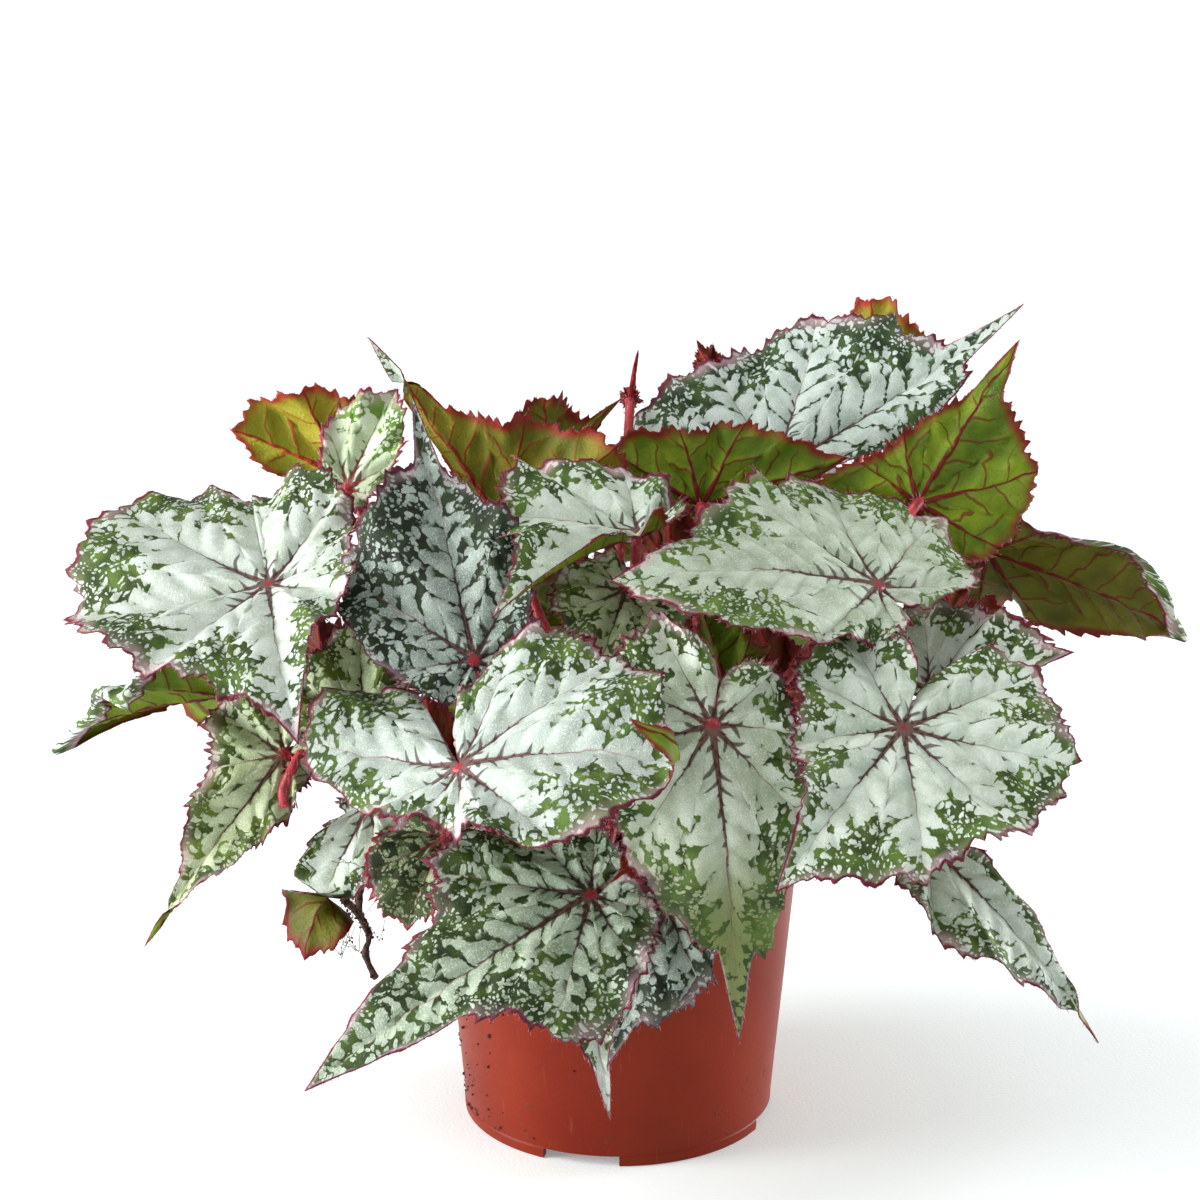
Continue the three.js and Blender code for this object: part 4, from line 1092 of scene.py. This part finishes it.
RHIZOME = rhizome_material()
for number, places in enumerate(RHIZOMES, 1):
    route = smooth_route([(x, y, RHIZOME_Z) for x, y in places], 60)
    share = np.linspace(0, 1, len(route))
    ends = 1 - 0.5 * ease(np.abs(share - 0.5), 0.44, 0.5)
    radii = RHIZOME_RADIUS * (1 + 0.07 * np.sin(share * 60)) * ends
    points, faces, _ = tube(route, radii, RHIZOME_SIDES)
    piece = make_piece(f"rhizome_{number}", points, faces, [RHIZOME], None)
    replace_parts(piece, "rhizome_and_stalks")
print("rhizomes:", len(RHIZOMES))

# %% [markdown]
# ## The pot
#
# A nursery pot is one thin shell of orange-brown plastic: a tapered wall, a thicker band at the rim, a
# small step above the foot ring, and gaps in that ring that let water out. It is turned from one outline
# and the gaps and drain holes are cut, as the mould leaves them.

# %% Pot shape
POT_HEIGHT = 110
WALL = 1.5
WALL_BOTTOM_Z = 4
WALL_BOTTOM_RADIUS = 51
WALL_SLOPE = 0.091
FLOOR_THICK = 1.6
FOOT_RADIUS = 51.2
FOOT_WIDTH = 3.5
FOOT_GAPS = 4
FOOT_GAP_WIDTH = 25
FOOT_GAP_HEIGHT = 3.5
FOOT_GAP_TURN = -14
RIM_RADIUS = 64
RIM_DEPTH = 9
DRAIN_HOLES = 6
DRAIN_RADIUS = 4
DRAIN_CIRCLE = 34
POT_SIDES = 160
CORNER = 0.6
SHARP_ANGLE = 35
DRILL_SIDES = 32
DRILL_HALF = 9


def wall_radius(z):
    return WALL_BOTTOM_RADIUS + WALL_SLOPE * (z - WALL_BOTTOM_Z)


def rounded(corners, radius, steps=4):
    """The outline with each corner replaced by a short curve."""
    corners = [np.array(c, float) for c in corners]
    out = [corners[0]]
    for before, here, after in zip(corners, corners[1:], corners[2:]):
        back, ahead = before - here, after - here
        reach = min(radius, np.linalg.norm(back) / 2.2, np.linalg.norm(ahead) / 2.2)
        start, end = here + unit(back) * reach, here + unit(ahead) * reach
        for t in np.linspace(0, 1, steps):
            out.append(start * (1 - t) ** 2 + 2 * here * t * (1 - t) + end * t * t)
    return [*out, corners[-1]]


def turned(outline, sides):
    """A body of revolution from an outline that starts and ends on the axis."""
    turns = 2 * np.pi * np.arange(sides) / sides
    rings = [np.stack([r * np.cos(turns), r * np.sin(turns), np.full(sides, z)], 1)
             for r, z in outline[1:-1]]
    return closed_rings(rings, [0, 0, outline[0][1]], [0, 0, outline[-1][1]])


def cut(piece, tools):
    """Cuts the tools out of the piece and removes them."""
    for tool in tools:
        modifier = piece.modifiers.new("cut", "BOOLEAN")
        modifier.operation = "DIFFERENCE"
        modifier.solver = "EXACT"
        modifier.object = tool
    bpy.context.view_layer.update()
    shape = bpy.data.meshes.new_from_object(piece.evaluated_get(bpy.context.evaluated_depsgraph_get()))
    piece.modifiers.clear()
    piece.data = shape
    for tool in tools:
        bpy.data.objects.remove(tool)


def cutter(points, faces, place, turn):
    """A body to be cut out of another, moved to the place and turned about the pot's axis. In mm."""
    x, y, z = (np.asarray(points) + np.asarray(place)).T
    a = math.radians(turn)
    points = np.stack([x * math.cos(a) - y * math.sin(a), x * math.sin(a) + y * math.cos(a), z], 1)
    mesh = bpy.data.meshes.new("cutter")
    mesh.from_pydata((points * MM).tolist(), [], faces)
    return add_object("cutter", mesh)


def block(size, place, turn):
    corners = np.array([(x, y, z) for x in (-1, 1) for y in (-1, 1) for z in (-1, 1)]) * np.array(size) / 2
    faces = [(0, 1, 3, 2), (4, 6, 7, 5), (0, 4, 5, 1), (2, 3, 7, 6), (0, 2, 6, 4), (1, 5, 7, 3)]
    return cutter(corners, faces, place, turn)


def drill(turn):
    half = DRILL_HALF
    a = math.radians(turn)
    place = (DRAIN_CIRCLE * math.cos(a), DRAIN_CIRCLE * math.sin(a), WALL_BOTTOM_Z)
    outline = [(0, -half), (DRAIN_RADIUS, -half), (DRAIN_RADIUS, half), (0, half)]
    return cutter(*turned(outline, DRILL_SIDES), place, 0)


def pot_material():
    material, place, tone = two_tones("pot_plastic", "6e1b09", "7e250c", 22, 4, 0.3, 0.7)
    tree = tone.tree
    _, _, height = place.parts()
    dust = place.noise(260, 4).ramp(0.60, 0.72) * (1 - height.ramp(0.004, 0.045)) * 0.55
    tone = paint(tone, "5a3020", dust)
    marks = add_node(tree, "VectorMath", {"operation": "MULTIPLY"}, {0: place, 1: (1.0, 1.0, 0.05)})
    tone = paint(tone, "d98a6a", marks.noise(600, 3).ramp(0.62, 0.8) * 0.08)
    roughness = place.noise(60, 3) * 0.12 + 0.36 + dust * 0.4
    close_material(tone, roughness, place.noise(1500, 2) * 0.5 + dust, 0.00015, Specular_IOR_Level=0.14)
    return material


def pot():
    floor_top = WALL_BOTTOM_Z + FLOOR_THICK
    rim_bottom = POT_HEIGHT - RIM_DEPTH
    outline = [
        (0, WALL_BOTTOM_Z), (FOOT_RADIUS - FOOT_WIDTH, WALL_BOTTOM_Z), (FOOT_RADIUS - FOOT_WIDTH, 0),
        (FOOT_RADIUS, 0), (FOOT_RADIUS + 0.1, 3.3), (wall_radius(4), 3.7), (wall_radius(5), 5),
        (wall_radius(rim_bottom), rim_bottom), (RIM_RADIUS - 0.7, rim_bottom + 0.2),
        (RIM_RADIUS, POT_HEIGHT - 1), (RIM_RADIUS - 1, POT_HEIGHT),
        (wall_radius(POT_HEIGHT) - WALL, POT_HEIGHT), (wall_radius(floor_top) - WALL, floor_top),
        (0, floor_top),
    ]
    points, faces = turned(rounded(outline, CORNER), POT_SIDES)
    piece = make_piece("pot", points, faces, [pot_material()], None)
    gaps = [block((FOOT_GAP_WIDTH, 4 * FOOT_WIDTH, 2 * FOOT_GAP_HEIGHT), (0, -FOOT_RADIUS, 0),
                  FOOT_GAP_TURN + 360 / FOOT_GAPS * i) for i in range(FOOT_GAPS)]
    holes = [drill(360 / DRAIN_HOLES * i) for i in range(DRAIN_HOLES)]
    cut(piece, gaps + holes)
    piece.data.set_sharp_from_angle(angle=math.radians(SHARP_ANGLE))
    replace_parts(piece, "pot")
    return piece


print("pot faces:", len(pot().data.polygons))

# %% [markdown]
# ## Soil
#
# Potting soil is peat crumbs and bark. The body of it is one turned block with a rough top; loose crumbs of
# many sizes lie on it, and some stick to the pot's wall and foot. Each crumb is a small dented lump.

# %% Soil and crumbs
SOIL_TOP = 99
SOIL_GAP = 0.3
SOIL_CRUMBS = 900
SOIL_CRUMB_SIZE = (0.5, 2.0)
WALL_CRUMBS = 140
WALL_CRUMB_SIZE = (0.25, 0.8)
CRUMB_POINTS = np.array([
    (0, 0, 1), (0.9, 0, 0.45), (0.28, 0.85, 0.45), (-0.72, 0.53, 0.45), (-0.72, -0.53, 0.45),
    (0.28, -0.85, 0.45), (0.72, 0.53, -0.45), (-0.28, 0.85, -0.45), (-0.9, 0, -0.45),
    (-0.28, -0.85, -0.45), (0.72, -0.53, -0.45), (0, 0, -1)])
CRUMB_FACES = np.array([
    (0, 1, 2), (0, 2, 3), (0, 3, 4), (0, 4, 5), (0, 5, 1), (1, 6, 2), (2, 7, 3), (3, 8, 4), (4, 9, 5),
    (5, 10, 1), (6, 7, 2), (7, 8, 3), (8, 9, 4), (9, 10, 5), (10, 6, 1), (11, 7, 6), (11, 8, 7),
    (11, 9, 8), (11, 10, 9), (11, 6, 10)])


def crumbs(places, sizes, luck):
    """Dented lumps at the places, joined into one mesh."""
    count, corners = len(places), len(CRUMB_POINTS)
    dents = luck.uniform(0.55, 1.15, (count, corners, 1))
    shapes = CRUMB_POINTS[None] * dents * luck.uniform(0.5, 1.2, (count, 1, 3))
    points = (shapes * sizes[:, None, None] + places[:, None]).reshape(-1, 3)
    faces = (CRUMB_FACES[None] + corners * np.arange(count)[:, None, None]).reshape(-1, 3)
    return points, faces


def soil_material():
    material, place, tone = two_tones("soil", "1f140d", "4a3524", 330, 4, 0.35, 0.7)
    tone = paint(tone, "8a6a4a", place.cells(300, "F1").ramp(0.75, 0.95) * 0.5)
    close_material(tone, place.noise(200) * 0.15 + 0.8, place.noise(800, 4), 0.0012)
    return material


SOIL = soil_material()


def heaps(x, y):
    """The slow rise and fall of the soil's top."""
    return 1.2 * np.sin(x * 0.21) * np.cos(y * 0.17)


def soil():
    """The block of soil and the loose crumbs on it. Returns how many crumbs there are."""
    bottom_z = WALL_BOTTOM_Z + FLOOR_THICK + 0.35
    outer = wall_radius(SOIL_TOP) - WALL - SOIL_GAP
    rings = [(outer * share, SOIL_TOP) for share in np.linspace(1, 0.03, 40)]
    outline = [(0, bottom_z), (wall_radius(bottom_z) - WALL - 0.35, bottom_z), *rings, (0, SOIL_TOP)]
    points, faces = turned(outline, 120)
    luck = np.random.default_rng(77)
    top = points[:, 2] > SOIL_TOP / 2
    x, y = points[:, 0], points[:, 1]
    bumps = heaps(x, y) + 0.5 * np.sin(x * 0.9 + 1) * np.sin(y * 1.1)
    points[:, 2] += np.where(top, bumps + luck.normal(0, 0.25, len(points)), 0)
    piece = make_piece("soil", points, faces, [SOIL], None)
    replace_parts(piece, "soil")
    radius = outer * np.sqrt(luck.uniform(0, 0.97, SOIL_CRUMBS))
    turn = luck.uniform(0, 2 * np.pi, SOIL_CRUMBS)
    x, y = radius * np.cos(turn), radius * np.sin(turn)
    z = SOIL_TOP + heaps(x, y) + luck.uniform(0, 1.0, SOIL_CRUMBS)
    lumps, faces = crumbs(np.stack([x, y, z], 1), luck.uniform(*SOIL_CRUMB_SIZE, SOIL_CRUMBS), luck)
    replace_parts(make_piece("soil_crumbs", lumps, faces, [SOIL], None, False), "soil")
    return SOIL_CRUMBS


def wall_crumbs():
    """Specks of soil that stick to the wall, mostly low down and on the left."""
    luck = np.random.default_rng(21)
    z = 4 + 60 * luck.uniform(0, 1, WALL_CRUMBS) ** 2.2
    turn = np.radians(luck.normal(185, 35, WALL_CRUMBS))
    radius = wall_radius(z) + 0.15
    places = np.stack([radius * np.cos(turn), radius * np.sin(turn), z], 1)
    points, faces = crumbs(places, luck.uniform(*WALL_CRUMB_SIZE, WALL_CRUMBS), luck)
    make_piece("wall_crumbs", points, faces, [SOIL], None, False)
    return WALL_CRUMBS


print("crumbs:", soil(), "and", wall_crumbs(), "on the wall")

# %% [markdown]
# ## The dried stalk
#
# One old stalk has dried to a dark string that hangs over the rim with crumbs caught on it. It is a tube
# again, but each of its places is shaken a little, and the crumbs of the soil cell sit on it.

# %% Dried stalk
DRIED_STALKS = [
    [(-28, 2, 103), (-50, -8, 121), (-67, -15, 116), (-77, -16, 97), (-82, -16, 85), (-84, -16, 73),
     (-81, -16, 65), (-82, -16, 57), (-79, -16, 50)],
    [(-82, -16, 68), (-85, -16, 73), (-89, -16, 77)],
]


ROUTE_POINTS = 60
CAUGHT_CRUMBS = 40


def dried_material():
    material, place, tone = two_tones("dried_stalk", "24130e", "5c3a28", 400, 3, 0.4, 0.7)
    close_material(tone, place.noise(300) * 0.2 + 0.7, place.noise(900, 3), 0.0008)
    return material


DRIED = dried_material()
for number, places in enumerate(DRIED_STALKS, 1):
    luck = np.random.default_rng(60 + number)
    route = smooth_route(places, ROUTE_POINTS)
    route = route + luck.normal(0, 0.16, route.shape)
    radii = 0.85 + 0.3 * np.sin(np.linspace(0, 30, ROUTE_POINTS)) ** 2 + luck.uniform(0, 0.25, ROUTE_POINTS)
    points, faces, _ = tube(route, radii, 8)
    caught = route[-CAUGHT_CRUMBS:] + luck.normal(0, 0.9, (CAUGHT_CRUMBS, 3))
    lumps, lump_faces = crumbs(caught, luck.uniform(0.3, 1.0, CAUGHT_CRUMBS), luck)
    faces = [*faces, *(lump_faces + len(points)).tolist()]
    points = np.concatenate([points, lumps])
    piece = make_piece(f"dried_stalk_{number}", points, faces, [DRIED], None)
    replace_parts(piece, "rhizome_and_stalks")
print("dried stalks:", len(DRIED_STALKS))

# %% [markdown]
# ## Threads with crumbs
#
# Fine rootlets and spider threads hang beside the dried stalk, with crumbs in them. Slinging each thread
# between two of a few fixed ends, picked by luck, gives the loose net without placing every thread.

# %% Threads with crumbs
THREAD_ENDS = np.array([(-103, -20, 78), (-88, -38, 66), (-74, -56, 78), (-82, -16, 92), (-92, -30, 95),
                        (-70, -52, 96), (-84, -18, 60), (-98, -24, 66)], float)
THREADS = 16
THREAD_POINTS = 14
THREAD_RADIUS = 0.1
THREAD_CRUMBS = 7


def threads():
    """Fine threads slung between the dried stalk and the leaves beside it, with crumbs caught in them."""
    luck = np.random.default_rng(90)
    all_points, all_faces, total = [], [], 0
    for _ in range(THREADS):
        start, end = THREAD_ENDS[luck.choice(len(THREAD_ENDS), 2, replace=False)]
        steps = np.linspace(0, 1, THREAD_POINTS)[:, None]
        sag = 4 * steps * (1 - steps) * luck.normal(0, 1, 3) * [1, 1, 3]
        route = start + (end - start) * steps + sag + luck.normal(0, 0.3, (THREAD_POINTS, 3))
        parts = [tube(route, np.full(THREAD_POINTS, THREAD_RADIUS), 4)[:2]]
        caught = route[luck.integers(1, THREAD_POINTS - 1, THREAD_CRUMBS)]
        caught = caught + luck.normal(0, 0.4, (THREAD_CRUMBS, 3))
        parts.append(crumbs(caught, luck.uniform(0.2, 0.6, THREAD_CRUMBS), luck))
        for points, faces in parts:
            all_points.append(points)
            all_faces += [tuple(int(i) + total for i in face) for face in faces]
            total += len(points)
    piece = make_piece("threads", np.concatenate(all_points), all_faces, [DRIED], None)
    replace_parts(piece, "rhizome_and_stalks")
    return len(all_faces)


print("thread faces:", threads())

# %% [markdown]
# ## Floor and light
#
# The plant stands on a flat white floor in soft daylight from the upper left. A wide soft sun gives the
# shading from leaf to leaf, a white world fills the shadows, and two low lamps reach in under the leaves.

# %% Stage
FLOOR_HALF = 30
LAMP_SIZE = 0.5
LAMP_TARGET = (0.0, 0.0, 0.06)


def floor_material():
    material, tree = new_material("floor")
    place = add_node(tree, "TexCoord", None, None, "Object")
    tone = paint("e6ecec", "ecf1f1", place.noise(3, 2))
    close_material(tone, place.noise(5) * 0.05 + 0.75, place.noise(900, 2), 0.0001,
                   Emission_Color=(0.93, 1.0, 1.0, 1.0), Emission_Strength=0.24)
    return material


def flat_floor(half):
    mesh = bpy.data.meshes.new("floor")
    corners = [(-half, -half, 0), (half, -half, 0), (half, half, 0), (-half, half, 0)]
    mesh.from_pydata(corners, [], [(0, 1, 2, 3)])
    mesh.materials.append(floor_material())
    floor = add_object("floor", mesh)


def area_light(name, place, power):
    light = bpy.data.lights.new(name, "AREA")
    light.shape = "DISK"
    light.size = LAMP_SIZE
    light.energy = power
    lamp = add_object(name, light)
    lamp.location = place
    lamp.rotation_euler = (Vector(LAMP_TARGET) - Vector(place)).to_track_quat("-Z", "Y").to_euler()


def white_world(strength):
    world = bpy.data.worlds.new("world")
    bpy.context.scene.world = world
    world.use_nodes = True
    world.node_tree.nodes.clear()
    values = {"Color": (1.0, 1.0, 1.0, 1.0), "Strength": strength}
    sky = add_node(world.node_tree, "Background", None, values)
    add_node(world.node_tree, "OutputWorld", None, {"Surface": sky})


def soft_sun(place, power, angle):
    light = bpy.data.lights.new("sun", "SUN")
    light.energy = power
    light.angle = math.radians(angle)
    lamp = add_object("sun", light)
    lamp.rotation_euler = Vector(place).to_track_quat("Z", "Y").to_euler()


flat_floor(FLOOR_HALF)
white_world(strength=0.58)
soft_sun(place=(-0.9, -0.15, 0.9), power=2.2, angle=40)
area_light("right", place=(0.9, 0.3, 0.12), power=12)
area_light("left", place=(-1.0, -0.2, 0.10), power=16)

# %% [markdown]
# ## Camera
#
# The camera looks slightly down. Its place and lens were fitted to the pot's foot, rim and wall, whose true
# sizes are known, so the leaves are seen from the same angle.

# %% Camera
CAMERA_DISTANCE = 0.865
CAMERA_TARGET = Vector((-0.006, 0, 0.173))
CAMERA_ELEVATION = math.radians(14.5)
LENS = 81

camera = add_object("camera", bpy.data.cameras.new("camera"))
look = Vector((0, math.cos(CAMERA_ELEVATION), -math.sin(CAMERA_ELEVATION)))
camera.location = CAMERA_TARGET - CAMERA_DISTANCE * look
camera.rotation_euler = (math.pi / 2 - CAMERA_ELEVATION, 0, 0)
camera.data.lens = LENS
camera.data.clip_start = 0.01
bpy.context.scene.camera = camera
bpy.context.scene.view_settings.view_transform = "Standard"
print("camera at", tuple(camera.location))
